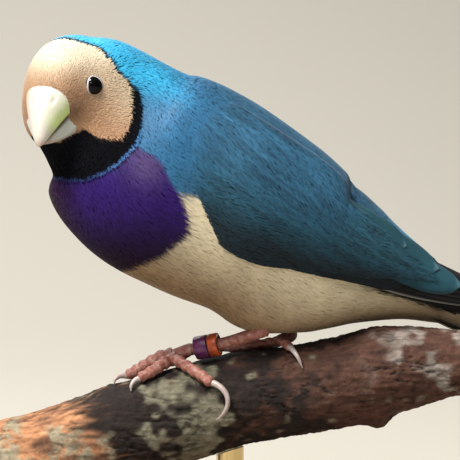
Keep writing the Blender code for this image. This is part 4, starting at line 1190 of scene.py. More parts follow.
def make_lids(name, middle, looks, up, aside, radius):
    """Both lids as one soft ring round the eye, with a beaded rim."""
    around = LID_AROUND
    turn = 2.0 * math.pi * np.arange(around) / around
    opening = 1.0 / np.sqrt((np.cos(turn) / LID_WIDE) ** 2 + (np.sin(turn) / LID_TALL) ** 2)
    opening = opening * (1.0 - LID_EGG * np.sin(turn) * np.abs(np.cos(turn)))
    rings = []
    for out, rise, _ in LID_RINGS:
        bead = BEAD_RISE * np.cos(LID_BEADS * turn) if 0.0 < out < 0.15 else 0.0
        rings.append(on_ball(middle, looks, up, aside, opening + out, turn, radius + rise + bead))
    points = np.array(rings).reshape(-1, 3)
    faces = [grid_faces(len(rings), around), joined_rims(len(rings), around)]
    tone = shades()
    colour = mix(tone.cheek, tone.lid, np.repeat([share for _, _, share in LID_RINGS], around))
    # The innermost ring, tucked against the eyeball, darkened as painted shade
    colour[:around] *= 0.25
    nodes = Nodes("lid_" + name, 0.45, Specular_IOR_Level=0.4)
    nodes.paint()
    nodes.bump(nodes.grain(4000.0).outputs["Fac"], 0.3, 0.00005)
    make_piece("lids_" + name, points, faces, nodes.material, "face_plumage", (), colour)


# Bill

def bill_axes():
    """Directions ahead of the bill, to its left and up."""
    def turned(vector, axis, angle):
        axis = unit(axis)
        return (vector * math.cos(angle) + np.cross(axis, vector) * math.sin(angle)
                + axis * (axis @ vector) * (1.0 - math.cos(angle)))
    ahead = turned(turned(AHEAD, LEFT, BILL_PITCH), CROWN, BILL_YAW)
    left = turned(turned(LEFT, LEFT, BILL_PITCH), CROWN, BILL_YAW)
    return ahead, left, np.cross(ahead, left)


def make_mandible(upper):
    """One half of the bill: its points, faces and colours."""
    ahead, left, up = bill_axes()
    base = on_head(BILL_BASE)
    sense = 1.0 if upper else -1.0
    height = BILL_OVER if upper else BILL_UNDER
    square = 1.0 if upper else LOWER_SQUARE
    reach = 1.0 if upper else LOWER_SHORTER
    t = np.sin(0.5 * math.pi * np.linspace(0.0, 0.985, BILL_ALONG))[:, None]
    turn = math.pi * np.arange(BILL_AROUND + 1)[None] / BILL_AROUND
    slim = np.sqrt(1.0 - t * t) * (1.0 - BILL_TAPER * t)
    wide = BILL_HALF_WIDTH * slim * (1.0 if upper else LOWER_WIDER)
    tall = height * (1.0 - t ** BILL_CURVE) ** BILL_FULLNESS
    across = np.cos(turn)
    across = np.copysign(np.abs(across) ** square, across)
    if not upper:
        across = across * (1.0 + LOWER_BULGE * np.abs(np.sin(2.0 * turn)))
    rise = MOUTH_GAP * 0.5 + tall * np.maximum(np.sin(turn), 0.0) ** square
    if upper:
        hang = 0.12 * np.exp(-((t - 0.93) / 0.09) ** 2) + 0.16 * np.sin(3.0 * math.pi * t) * (1.0 - t)
        rise = rise - hang * np.exp(-(np.sin(turn) / 0.22) ** 2)
    middle = base + ahead * (BILL_LENGTH * t * reach)[..., None] - up * (BILL_DROOP * t * t)[..., None]
    points = middle + left * (wide * across)[..., None] + up * sense * rise[..., None]
    if upper:
        for side in (1.0, -1.0):
            place = base + ahead * NOSTRIL_PLACE[0] + left * side * NOSTRIL_PLACE[1] + up * NOSTRIL_PLACE[2]
            gap = np.linalg.norm(points - place, axis=-1)
            points = points - up * (NOSTRIL_DEPTH * np.exp(-(gap / NOSTRIL_RADIUS) ** 2))[..., None]
    tip = base + ahead * BILL_LENGTH * reach - up * (BILL_DROOP - sense * MOUTH_GAP * 0.5)
    flat = np.concatenate([points.reshape(-1, 3), [tip, middle[0, 0] + up * sense * 0.5]])
    faces = closed_faces(BILL_ALONG, BILL_AROUND + 1, 1, 0)
    # A dark band along the edge where the halves meet, painted shade in the mouth line
    rim = np.exp(-(np.sin(turn) / 0.05) ** 2) * np.ones_like(t)
    rim = np.concatenate([rim.ravel(), [0.0, 1.0]])
    return flat, faces, mix(bill_colours(flat, upper), shades().mouth, rim * 0.85)


def bill_colours(points, upper):
    """Ivory with a flush, green by the mouth, brown at the tip."""
    tone = shades()
    ahead, left, up = bill_axes()
    offset = points - on_head(BILL_BASE)
    forward = offset @ ahead
    side = offset @ left
    rise = offset @ up
    if upper:
        colour = mix(tone.bill, tone.bill_flush, soft(-side, 0.6, 3.4) * 0.8)
        mouth = np.exp(-((rise - 0.3) / 1.6) ** 2) * soft(side, 0.2, 2.2) * soft(8.0 - forward, 0.0, 3.5)
        colour = mix(colour, tone.bill_green, mouth * 0.95)
        colour = mix(colour, tone.bill_tip, soft(forward, 7.4, 8.9) * 0.9)
        # The nostril pits darkened as painted shade
        for way in (1.0, -1.0):
            place = NOSTRIL_PLACE * (1.0, way, 1.0)
            gap = np.linalg.norm(np.stack([forward, side, rise], -1) - place, axis=-1)
            colour = mix(colour, tone.nostril, np.exp(-(gap / 0.3) ** 2) * 0.8)
    else:
        colour = mix(tone.bill_lower, tone.bill_tip, soft(forward, 5.5, 8.2))
        # The lower half greyer and lilac towards its underside, a painted shade
        colour = mix(colour, tone.lid, soft(-rise, 1.4, 3.4) * 0.55)
    return colour * (1.0 + 0.05 * noise(points, 0.9, 4))[:, None]


def make_bill():
    nodes = Nodes("bill", 0.33, Specular_IOR_Level=0.45, Subsurface_Weight=0.12, Subsurface_Scale=0.0015)
    grain = nodes.grain(900.0, 3.0, (1.0, 1.0, 0.25))
    nodes.paint()
    nodes.bump(grain.outputs["Fac"], 0.25, 0.0001)
    for name, upper in (("upper", True), ("lower", False)):
        points, faces, colour = make_mandible(upper)
        make_piece("mandible_" + name, points, faces, nodes.material, "bill", ("bill_" + name,), colour)


# Wings

def envelope(x, degrees, lift, left):
    """Points over the closed wing's seat on the body, on the left or the right side."""
    angle = np.radians(degrees if left else 180.0 - np.asarray(degrees))
    return loft(ENVELOPE, x, angle, WING_LIFT + np.asarray(lift))


def wing_grid(left, sunk=0.0, reach=1.0):
    """The wing's shell: its outer and inner surfaces as rows from the front edge back."""
    u = np.linspace(0.0, reach, WING_ALONG)[:, None]
    v = np.linspace(0.0, 1.0, WING_AROUND)[None]
    low = smooth(WING_LOW, WING_LOW_FROM + (WING_BACK - WING_LOW_FROM) * u)[..., 0]
    degrees = low + (WING_HIGH - low) * v
    front = smooth(WING_FRONT, degrees)[..., 0]
    x = front + (WING_BACK - front) * u
    buried, edge, full = WING_LIFTS
    rise = np.minimum(soft(u, 0.0, 0.45), soft(1.0 - v, 0.0, 0.2))
    top = buried + (full - buried) * rise
    rear = TERTIALS[0][3] + 0.06 + (TERTIALS[1][3] - TERTIALS[0][3]) * soft(degrees, 18.0, 24.0)
    top = top - np.maximum(top - rear, 0.0) * soft(x, WING_BACK - 14.0, WING_BACK)
    sink = soft(x, 8.0, WING_BACK) * soft(degrees, 44.0, 56.0)
    top = top + (buried - top) * sink
    share = soft(v, 0.0, 0.16)
    thick = np.minimum(top, edge + (top - edge) * share) - sunk
    outer = envelope(x, degrees, thick, left)
    inner = envelope(x, degrees, np.minimum(thick - 0.25, -0.1), left)
    return outer, inner, x, degrees


def wing_colour(x, degrees, points):
    """The closed wing's colours: steel blue above, darkening to deep teal low down, partly the wing's own
    teal and partly painted shade.
    """
    tone = shades()
    low = smooth(WING_LOW, x)[..., 0]
    share = np.clip((degrees - low) / (60.0 - low), 0.0, 1.0)
    mask, black = marks(points.reshape(-1, 3))[:2]
    away = -np.maximum(mask, black).reshape(x.shape)
    upper = blue(points, x, away)
    # Darker low on the wing: partly the feathers' own deep teal, partly painted shade
    colour = mix(tone.wing_low_and_shade, tone.wing_mid, soft(share, 0.06, 0.46))
    colour = mix(colour, upper, soft(share, 0.22, 0.8) * (1.0 - 0.5 * soft(x, 8.0, 24.0)))
    colour = mix(colour, tone.tertial, soft(x, 6.0, 20.0) * soft(share, 0.15, 0.5) * 0.7)
    front = 1.0 - soft(x - smooth(WING_FRONT, degrees)[..., 0], 0.5, 7.0)
    colour = mix(colour, upper, front * soft(degrees, -12.0, 10.0))
    # Random mottling, and streaks that are partly painted sheen and painted shade
    return colour * (0.92 + 0.12 * noise(points, 2.6, 8) + 0.34 * streaks(points, 15))[..., None]


def streaks(points, seed):
    """Values from -1 to 1 in fine streaks that run down the wing with its feathers, partly their own tone,
    partly painted sheen and painted shade.
    """
    long, broad = STREAK_SIZES
    along = points[..., 0] * math.cos(STREAK_TURN) - points[..., 2] * math.sin(STREAK_TURN)
    across = points[..., 0] * math.sin(STREAK_TURN) + points[..., 2] * math.cos(STREAK_TURN)
    return noise(np.stack([along / long, points[..., 1] / long, across / broad], -1), 1.0, seed)


def quill_profile(kind):
    """Width of a flight feather along its length, as shares."""
    t = np.linspace(0.0, 1.0, QUILL_ALONG)
    round_from = {"primary": 0.72, "secondary": 0.84, "tertial": 0.78}[kind]
    end = np.sqrt(np.clip(1.0 - (np.maximum(t - round_from, 0.0) / (1.0 - round_from)) ** 2, 0.0025, 1.0))
    grow = 0.5 + 0.5 * soft(t, 0.0, 0.45)
    narrow = 1.0 - 0.25 * soft(t, 0.5, 1.0) if kind == "primary" else 1.0
    return t, grow * end * narrow


def quill(kind, root, tip, width, lifts, left, pale=1.0):
    """One flight feather on the wing's envelope: a thin closed plate with a raised shaft."""
    t, shares = quill_profile(kind)
    s = np.linspace(-1.0, 1.0, QUILL_ACROSS)
    x = (root[0] + (tip[0] - root[0]) * t)[:, None]
    degrees = (root[1] + (tip[1] - root[1]) * t)[:, None]
    reaches = section(ENVELOPE, x[:, 0])[3]
    girth = oval(np.radians(degrees[:, 0]), reaches)[:, None]
    half = (0.5 * width * shares)[:, None]
    swing = np.degrees(half / (girth + 1.0)) * s[None]
    lift = (lifts[0] + (lifts[1] - lifts[0]) * t)[:, None] + 0.05 * (1.0 - s[None] ** 2) + 0.02 * s[None]
    trail = 0.45 * half * np.abs(s[None]) * soft(t, 0.1, 0.5)[:, None]
    shape = np.broadcast(x, s[None]).shape
    x = np.broadcast_to(x, shape) - trail * 0.4
    around = np.broadcast_to(degrees, shape) + swing
    top = envelope(x, around, lift, left)
    thick = QUILL_THICK * (1.0 - 0.7 * np.abs(s[None]) ** 3) * np.ones_like(x)
    bottom = envelope(x, around, lift - thick, left)
    rings, faces, span, run = plate(top, bottom, s, t)
    length = abs(tip[0] - root[0])
    barb = (run * length - np.abs(span) * 0.5 * width * 1.1) * 9.0
    colour = quill_colour(kind, run, span, rings, pale)
    return rings.reshape(-1, 3), faces, colour.reshape(-1, 3), barb.ravel()


def quill_colour(kind, run, span, points, pale):
    """The colours of one flight feather, with its pale edge."""
    tone = shades()
    if kind == "primary":
        colour = np.broadcast_to(np.array(tone.quill), (*run.shape, 3))
        edge = soft(-span, 0.90, 0.97) * (1.0 - soft(run, 0.86, 0.98))
        return mix(colour, tone.quill_edge, edge * pale)
    if kind == "secondary":
        return mix(tone.quill, tone.wing_low_and_shade, soft(-span, -0.4, 0.7) * 0.4)
    colour = mix(tone.tertial, tone.wing_mid, soft(-span, 0.2, 1.0) * 0.5)
    colour = mix(colour, tone.wing_low_and_shade, soft(-span, 0.55, 1.0) * 0.5)
    rim = np.maximum(soft(-span, 0.86, 0.98) * soft(run, 0.75, 0.9), soft(run, 0.97, 0.995))
    colour = mix(colour, tone.quill_edge, rim * 0.09)
    return colour * (1.0 + 0.10 * noise(points, 1.8, 12))[..., None]


def make_wings():
    """Flight feathers, the shell beneath the coverts, and the coverts."""
    for name, left in (("left", True), ("right", False)):
        draw = np.random.default_rng(5 if left else 6)
        parts = []
        for kind, count, root, tip, root_step, tip_step, width, lifts, lift_step in QUILL_TIERS:
            for k in range(count):
                near = (root[0] + root_step[0] * k, root[1] + root_step[1] * k)
                far = (tip[0] + tip_step[0] * k + draw.uniform(-0.2, 0.2), tip[1] + tip_step[1] * k)
                rises = (lifts[0], lifts[1] + lift_step * k)
                parts.append(quill(kind, near, far, width, rises, left, 0.12 if k else 1.0))
        for x, degrees, width, lift in TERTIALS:
            root = (TERTIAL_ROOT_X, 14.0 + 0.8 * degrees)
            parts.append(quill("tertial", root, (x, degrees), width, (TERTIAL_ROOT_LIFT, lift), left))
        points, faces, colour, barb = gather(parts)
        make_piece("quills_" + name, points, faces, vane_material("quills_" + name), "flight_feathers",
                   ("wing_" + name,), colour, None, {"barb": barb})

        outer, inner, x, degrees = wing_grid(left, 0.3)
        shell, faces = plate(outer, inner, np.zeros(WING_AROUND), np.zeros(WING_ALONG))[:2]
        # The shell darkened as painted shade where it shows between the coverts
        shade = wing_colour(x, degrees, outer) * 0.7
        shade = np.concatenate([shade, shade[:, ::-1]], axis=1).reshape(-1, 3)
        make_piece("wing_shell_" + name, shell.reshape(-1, 3), faces, plumage_material("shell_" + name),
                   "flight_feathers", (), shade)
        make_coverts(name, left, draw)


def make_coverts(name, left, draw):
    """The close small feathers of the wing, laid over its shell."""
    outer, inner, x, degrees = wing_grid(left, 0.0, WING_REACH)
    normals = facing(grid_normals(outer, around=False), outer - inner)
    tree = surface_tree(outer, grid_faces(WING_ALONG, WING_AROUND, around=False))
    size = np.array(WING_COAT)
    share = bpy.context.scene.finch_sizes.coat_density

    def density(points):
        far = smooth(COVERT_END, turn_on_body(points)[1])[:, 0]
        return size[0] * share * (1.0 - soft(points[:, 0] + 0.8 * noise(points, 1.2, 14), far - 1.6, far))

    roots, looks, spread = scatter(outer, normals, density, draw, around=False)
    u = spread[:, 1] * (WING_ALONG - 1)
    v = spread[:, 0] * (WING_AROUND - 1)
    i = np.clip(np.rint(u).astype(int), 0, WING_ALONG - 1)
    j = np.clip(np.rint(v).astype(int), 0, WING_AROUND - 1)
    colour = wing_colour(x[i, j], degrees[i, j], roots)
    lies = lie_of_coat(roots, looks)
    along = unit(np.gradient(outer, axis=0))[i, j]
    low = 1.0 - soft(v / WING_AROUND, 0.05, 0.45)
    lies = unit(lies * (1.0 - low[:, None]) + along * low[:, None])
    sizes = np.repeat(size[None, 1:], len(roots), axis=0)
    sizes[:, :2] *= bpy.context.scene.finch_sizes.tuft_size
    forms, faced = tuft_forms(tree, roots - looks * 0.05, looks, lies, sizes, draw)
    make_tufts("coverts_" + name, forms, faced, colour, spread, plumage_material("coverts_" + name),
               "flight_feathers", draw, 0.09)


# Tail

def tail_quill(pair, side):
    """One tail feather: pair 0 is the long thin middle one."""
    along = np.array((math.cos(TAIL_SLOPE) * math.cos(BODY_YAW),
                      math.cos(TAIL_SLOPE) * math.sin(BODY_YAW), math.sin(TAIL_SLOPE)))
    up = np.cross(SIDE, along)
    root = np.array((TAIL_ROOT[0], NOD * TAIL_ROOT[0], TAIL_ROOT[1]))
    t = np.linspace(0.0, 1.0, QUILL_ALONG)
    if pair == 0:
        shares = np.interp(t, MIDDLE_STATIONS, MIDDLE_WIDTHS)
    else:
        end = np.clip(1.0 - (np.maximum(t - 0.86, 0.0) / 0.14) ** 2, 0.01, 1)
        shares = (0.6 + 0.4 * soft(t, 0.0, 0.4)) * np.sqrt(end)
    s = np.linspace(-1.0, 1.0, QUILL_ACROSS)
    out = side * (TAIL_FIRST_OUT + TAIL_SPREAD * pair * (0.35 + 0.65 * t))
    drop = TAIL_STACK * (pair + 0.5 * (side < 0.0)) + TAIL_DROP * pair * t
    middle = root + along * (TAIL_LENGTHS[pair] * t)[:, None] + SIDE * out[:, None] - up * drop[:, None]
    half = (0.5 * TAIL_WIDTH * shares)[:, None] * s[None]
    camber = 0.12 * (1.0 - s[None] ** 2) - side * TAIL_TILT * half
    top = middle[:, None] + SIDE * half[..., None] + up * camber[..., None]
    thick = (0.2 * (1.0 - 0.6 * np.abs(s) ** 3))[None, :, None]
    bottom = top - up * thick
    rings, faces, span, run = plate(top, bottom, s, t)
    tone = shades()
    colour = np.broadcast_to(np.array(tone.quill), (*run.shape, 3))
    colour = mix(colour, tone.quill_edge, soft(np.abs(span), 0.86, 0.97) * 0.12)
    barb = (run * TAIL_LENGTHS[pair] - np.abs(span) * 0.5 * TAIL_WIDTH) * 9.0
    return rings.reshape(-1, 3), faces, colour.reshape(-1, 3), barb.ravel()


def make_tail():
    parts = [tail_quill(pair, side) for pair in range(len(TAIL_LENGTHS)) for side in (1.0, -1.0)]
    points, faces, colour, barb = gather(parts)
    make_piece("tail_feathers", points, faces, vane_material("tail_feathers"), "flight_feathers", ("tail",),
               colour, None, {"barb": barb})


# Perch

def perch_radius(x, degrees):
    radius = smooth(PERCH, x)[..., 2]
    for place, angle, height, along, around in KNOTS:
        turn = (degrees - angle + 180.0) % 360.0 - 180.0
        radius = radius + height * np.exp(-((x - place) / along) ** 2 - (turn / around) ** 2)
    return radius + BARK_WAVE * np.sin(BARK_TURN * x + 0.03 * degrees) * np.sin(np.radians(3.0 * degrees))


def perch_point(x, degrees, lift=0.0):
    """Points over the perch: 0 degrees is its top and 90 the side that is shown."""
    x = np.asarray(x, float)
    degrees = np.asarray(degrees, float)
    middle = smooth(PERCH, x)
    low = smooth(PERCH, np.maximum(x - 0.5, PERCH[0][0]))
    high = smooth(PERCH, np.minimum(x + 0.5, PERCH[-1][0]))
    along = unit(np.stack([np.ones_like(x), high[..., 0] - low[..., 0], high[..., 1] - low[..., 1]], -1))
    front = np.broadcast_to(np.array((0.0, -1.0, 0.0)), along.shape)
    front = unit(front - along * (front * along).sum(axis=-1, keepdims=True))
    up = np.cross(front, along)
    turn = np.radians(degrees)[..., None]
    direction = up * np.cos(turn) + front * np.sin(turn)
    place = np.stack([x, middle[..., 0], middle[..., 1]], -1)
    return place + direction * (perch_radius(x, degrees) + lift)[..., None]


def make_perch():
    """The cut branch, with ridged bark, cracks and peeled wood."""
    x = np.linspace(PERCH[0][0], PERCH[-1][0], PERCH_ALONG)[:, None]
    degrees = 360.0 * np.arange(PERCH_AROUND)[None] / PERCH_AROUND
    x, degrees = np.broadcast_arrays(x, degrees)
    plain = perch_point(x, degrees)
    ragged = 5.0 * noise(plain, 5.0, 31) + 4.0 * noise(plain / (2.4, 0.6, 0.6), 1.0, 35)
    bare = 1.0 - soft(x + ragged, -28.0, -17.0)
    fibres = plain / (3.6, 0.7, 0.7)
    relief = 0.16 * noise(fibres, 1.0, 32) + 0.12 * noise(plain, 0.8, 33) + 0.09 * noise(plain, 0.38, 38)
    cracks = np.exp(-(noise(plain / (3.4, 0.6, 0.6), 1.0, 34) / 0.10) ** 2)
    cracks = cracks * soft(noise(plain, 3.0, 39), -0.3, 0.4) * CRACK_DEPTH
    relief = (relief - cracks) * (1.0 - 0.6 * bare) - 0.12
    grip = np.exp(-((x + 6.0) / 9.0) ** 2) * np.exp(-((degrees - 20.0) / 70.0) ** 2)
    relief = relief * (1.0 - 0.5 * grip)
    points = perch_point(x, degrees, relief)
    colour = bark_colours(plain, x, bare, cracks)
    flat = np.concatenate([points.reshape(-1, 3), [points[0].mean(axis=0), points[-1].mean(axis=0)]])
    colour = np.concatenate([colour.reshape(-1, 3), [shades().bare_wood, shades().bare_wood]])
    nodes = Nodes("bark", 0.85, Specular_IOR_Level=0.25)
    paint = nodes.attribute("plumage")
    coarse = nodes.grain(700.0, 6.0)
    stops = ((0.25, (0.55, 0.50, 0.46)), (0.5, (0.95, 0.93, 0.9)), (0.75, (1.0, 1.0, 1.0)))
    tint = nodes.ramp(coarse, "Fac", stops)
    nodes.colour(nodes.multiply(paint.outputs["Color"], tint.outputs["Color"], 0.85))
    nodes.bump(nodes.grain(1400.0, 8.0).outputs["Fac"], 0.9, 0.0003)
    make_piece("branch", flat, closed_faces(PERCH_ALONG, PERCH_AROUND), nodes.material, "bark",
               ("perch",), colour)


def bark_colours(points, x, bare, cracks):
    """Peeled wood at the head's end, lichen, and dark bark."""
    tone = shades()
    wide = noise(points, 5.0, 41)
    small = noise(points, 1.3, 42)
    # Dark bark against reddish bark, darker towards the head's end; the dark tone is partly painted shade
    colour = mix(tone.bark_dark_and_shade, tone.bark_red, soft(wide + 0.6 * small + 0.035 * (x - 8.0), -0.4, 0.7))
    middle = np.exp(-((x + 7.0) / 8.0) ** 2)
    lichen = soft(noise(points, 3.2, 43) + 0.7 * small + 1.1 * middle - 0.35, 0.25, 0.8)
    colour = mix(colour, tone.lichen, lichen * 0.75)
    pale = soft(x, 20.0, 30.0) * soft(noise(points, 2.4, 44) + 0.5 * small, 0.0, 0.7)
    colour = mix(colour, tone.lichen_pale, pale * 0.7)
    wood = mix(tone.bare_wood, tone.bark_red, soft(noise(points / (3.0, 1.0, 1.0), 1.6, 45), 0.0, 0.8) * 0.7)
    fibres = noise(points / (6.0, 0.5, 0.5), 1.0, 49)
    wood = wood * (1.0 + 0.45 * fibres)[..., None]
    spots = soft(noise(points, 3.4, 46) + 0.6 * small + 0.5 * noise(points, 0.5, 50), 0.1, 0.6)
    wood = mix(wood, np.asarray(tone.lichen) * 1.4, spots * (0.75 + 0.25 * noise(points, 0.7, 51)))
    colour = mix(colour, wood, bare)
    rough = 0.35 * noise(points / (2.5, 0.6, 0.6), 0.7, 47)
    colour = colour * (1.0 + rough + 0.25 * noise(points, 0.35, 48))[..., None]
    # Cracks darkened as painted shade in their hollows
    return colour * (1.0 - 0.7 * np.clip(cracks / CRACK_DEPTH, 0.0, 1.0))[..., None]


# Legs, claws and leg band

def resampled(route, radii, count):
    """A route and its radii, read at evenly spread places."""
    rows = [(k, *place, radius) for k, (place, radius) in enumerate(zip(route, radii))]
    return smooth(rows, np.linspace(0.0, len(rows) - 1.0, count))


def scuted(places, sides, pitch, height):
    """Radius factors of overlapping scutes along the upper side of a toe or shank."""
    run = np.concatenate([[0.0], np.cumsum(np.linalg.norm(np.diff(places, axis=0), axis=1))])
    step = (run / pitch) % 1.0
    ridge = (1.0 - step) * soft(step, 0.0, 0.12)
    turn = 2.0 * math.pi * np.arange(sides) / sides
    top = 0.35 + 0.65 * np.clip(0.4 + np.sin(turn + math.pi), 0.0, 1.0)
    return 1.0 + height * ridge[:, None] * top[None]


def toe_form(route, radii):
    """A toe along a route over the perch, with pads beneath and scutes above."""
    table = resampled(route, radii, TOE_ALONG)
    x, degrees, lift, radius = table.T
    points = perch_point(x, degrees, GAP * 0.4 + radius + lift)
    pads = 1.0 + 0.10 * np.sin(np.linspace(0.0, len(route) * 2.2 * math.pi, TOE_ALONG))
    return tube(points, (radius * pads)[:, None] * scuted(points, TOE_SIDES, 0.62, 0.10), TOE_SIDES)


def claw_form(route, radii):
    """A claw along a route over the perch, thinning to its tip."""
    table = resampled(route, radii, CLAW_ALONG)
    x, degrees, lift, radius = table.T
    t = np.linspace(0.0, 1.0, CLAW_ALONG)
    radius = radius * np.interp(t, (0.0, 0.12, 0.8, 1.0), (1.05, 1.0, 0.8, 0.35))
    points = perch_point(x, degrees, GAP * 0.5 + radius + lift)
    return tube(points, radius, CLAW_SIDES)


def leg_skin():
    """Pink skin in small cells, mottled dark and pale."""
    nodes = Nodes("leg_skin", 0.5, Specular_IOR_Level=0.4, Subsurface_Weight=0.08, Subsurface_Scale=0.001)
    mottle = nodes.grain(1300.0, 4.0)
    tone = shades()
    stops = ((0.3, tuple(tone.leg_dark)), (0.52, tuple(tone.leg)), (0.75, tuple(tone.leg_pale)))
    nodes.tones(mottle, stops)
    cells = nodes.add("ShaderNodeTexVoronoi", Scale=1700.0)
    place = nodes.add("ShaderNodeTexCoord")
    nodes.link(place, "Object", cells, "Vector")
    nodes.bump(cells.outputs["Distance"], 0.5, 0.0002)
    return nodes.material


def make_legs():
    """Both shanks with their scutes, and the toes."""
    skin = leg_skin()
    legs = (("left", SHANK_LEFT, TOES_LEFT), ("right", SHANK_RIGHT, TOES_RIGHT))
    for name, shank, toes in legs:
        points = [np.array(point) for point in shank]
        onward = unit(points[0] - points[1])
        ankle = points[0] + onward * GAP
        knuckle = perch_point(toes[0][0][0][0], toes[0][0][0][1], GAP + toes[0][1][0])
        rows = [(0.0, *points[0], SHANK_RADIUS), (1.0, *points[1], SHANK_RADIUS),
                (2.0, *points[2], SHANK_RADIUS * 1.1)]
        table = smooth(rows, np.linspace(0.0, 2.0, 90))
        radii = table[:, 3:] * scuted(table[:, :3], LEG_SIDES, 0.95, 0.07)
        make_piece("leg_" + name, *tube(table[:, :3], radii, LEG_SIDES), skin, "leg_skin",
                   ("shank_" + name,))
        rows = [(0.0, *(points[0] + onward * 0.05), SHANK_RADIUS),
                (1.0, *(ankle + onward * ANKLE_LENGTH), ANKLE_RADIUS), (2.0, *knuckle, toes[0][1][0])]
        table = smooth(rows, np.linspace(0.0, 2.0, 24))
        radii = table[:, 3:] * scuted(table[:, :3], LEG_SIDES, 0.8, 0.08)
        parts = [tube(table[:, :3], radii, LEG_SIDES)]
        parts += [toe_form(*toe) for toe in toes]
        make_piece("toes_" + name, *gather(parts), skin, "leg_skin", ("foot_" + name,))


def make_claws():
    nodes = Nodes("claw", 0.38, Specular_IOR_Level=0.45)
    tone = shades()
    nodes.tones(nodes.grain(500.0, 3.0), ((0.3, tuple(tone.claw)), (0.7, tuple(tone.claw_pale))))
    for name, claws in (("left", CLAWS_LEFT), ("right", CLAWS_RIGHT)):
        parts = [claw_form(*claw) for claw in claws]
        make_piece("claws_" + name, *gather(parts), nodes.material, "claw")


def make_bands():
    """The two rings of the leg band, one behind the other."""
    tone = shades()
    start = np.array(SHANK_LEFT[0])
    along = unit(np.array(SHANK_LEFT[1]) - start)
    aside = unit(np.cross(along, (0.0, 0.0, 1.0)))
    over = np.cross(aside, along)
    around = BAND_AROUND
    turn = 2.0 * math.pi * np.arange(around) / around
    out = aside * np.cos(turn)[:, None] + over * np.sin(turn)[:, None]
    reach = BAND_START
    for (name, width), colour in zip(BAND_WIDTHS, (tone.band_purple, tone.band_orange)):
        long = width - BAND_GAP
        inner, outer, edge, round_off = BAND_INNER, BAND_OUTER, BAND_EDGE, BAND_EDGE_ROUND
        profile = ((inner, 0.0), (outer - edge, 0.0), (outer - round_off, round_off), (outer, edge),
                   (outer, long * 0.5), (outer, long - edge), (outer - round_off, long - round_off),
                   (outer - edge, long), (inner, long))
        rings = np.array([start + along * (reach + step) + out * radius for radius, step in profile])
        rows = len(profile)
        nodes = Nodes(name, 0.35, Specular_IOR_Level=0.5)
        worn = nodes.grain(900.0, 5.0)
        pale = tuple(min(1.0, value * 1.9 + 0.01) for value in colour)
        nodes.tones(worn, ((0.35, dimmed(colour, 0.6)), (0.5, tuple(colour)), (0.72, pale)))
        faces = [grid_faces(rows, around), joined_rims(rows, around)]
        make_piece(name.replace("leg_band", "ring"), rings.reshape(-1, 3), faces, nodes.material,
                   name.replace("leg_", ""), (name,))
        reach += width


# Display stand and stage

def make_stand():
    """Finishes for the wooden base and the brass rod."""
    tone = shades()
    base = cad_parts["stand_base"]
    nodes = Nodes("base_wood", 0.35, Coat_Weight=0.3, Coat_Roughness=0.2)
    grain = nodes.grain(160.0, 6.0, (0.15, 1.6, 1.6))
    wood = tone.base_wood
    nodes.tones(grain, ((0.3, dimmed(wood, 0.55)), (0.55, tuple(wood)), (0.8, dimmed(wood, 1.5))))
    nodes.bump(grain.outputs["Fac"], 0.15, 0.0002)
    dress(base, nodes.material)
    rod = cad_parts["stand_rod"]
    nodes = Nodes("rod_brass", 0.28, Metallic=1.0)
    brushed = nodes.grain(900.0, 4.0, (1.0, 1.0, 0.05))
    nodes.tones(brushed, ((0.3, dimmed(tone.brass, 0.8)), (0.7, tuple(tone.brass))))
    nodes.bump(brushed.outputs["Fac"], 0.08, 0.0001)
    dress(rod, nodes.material)


def dress(item, material):
    """Give a solid that is kept as it is its finish."""
    item.data.materials.clear()
    item.data.materials.append(material)


def add_light(name, place, size, power, colour):
    """A square light that looks at the middle of the model."""
    data = bpy.data.lights.new(name, "AREA")
    data.shape = "SQUARE"
    data.size = size
    data.energy = power
    data.color = colour
    lamp = bpy.data.objects.new(name, data)
    bpy.context.scene.collection.objects.link(lamp)
    lamp.location = place
    aim = Vector((0.0, 0.0, CENTRE_HEIGHT * MM)) - Vector(place)
    lamp.rotation_euler = aim.to_track_quat("-Z", "Y").to_euler()


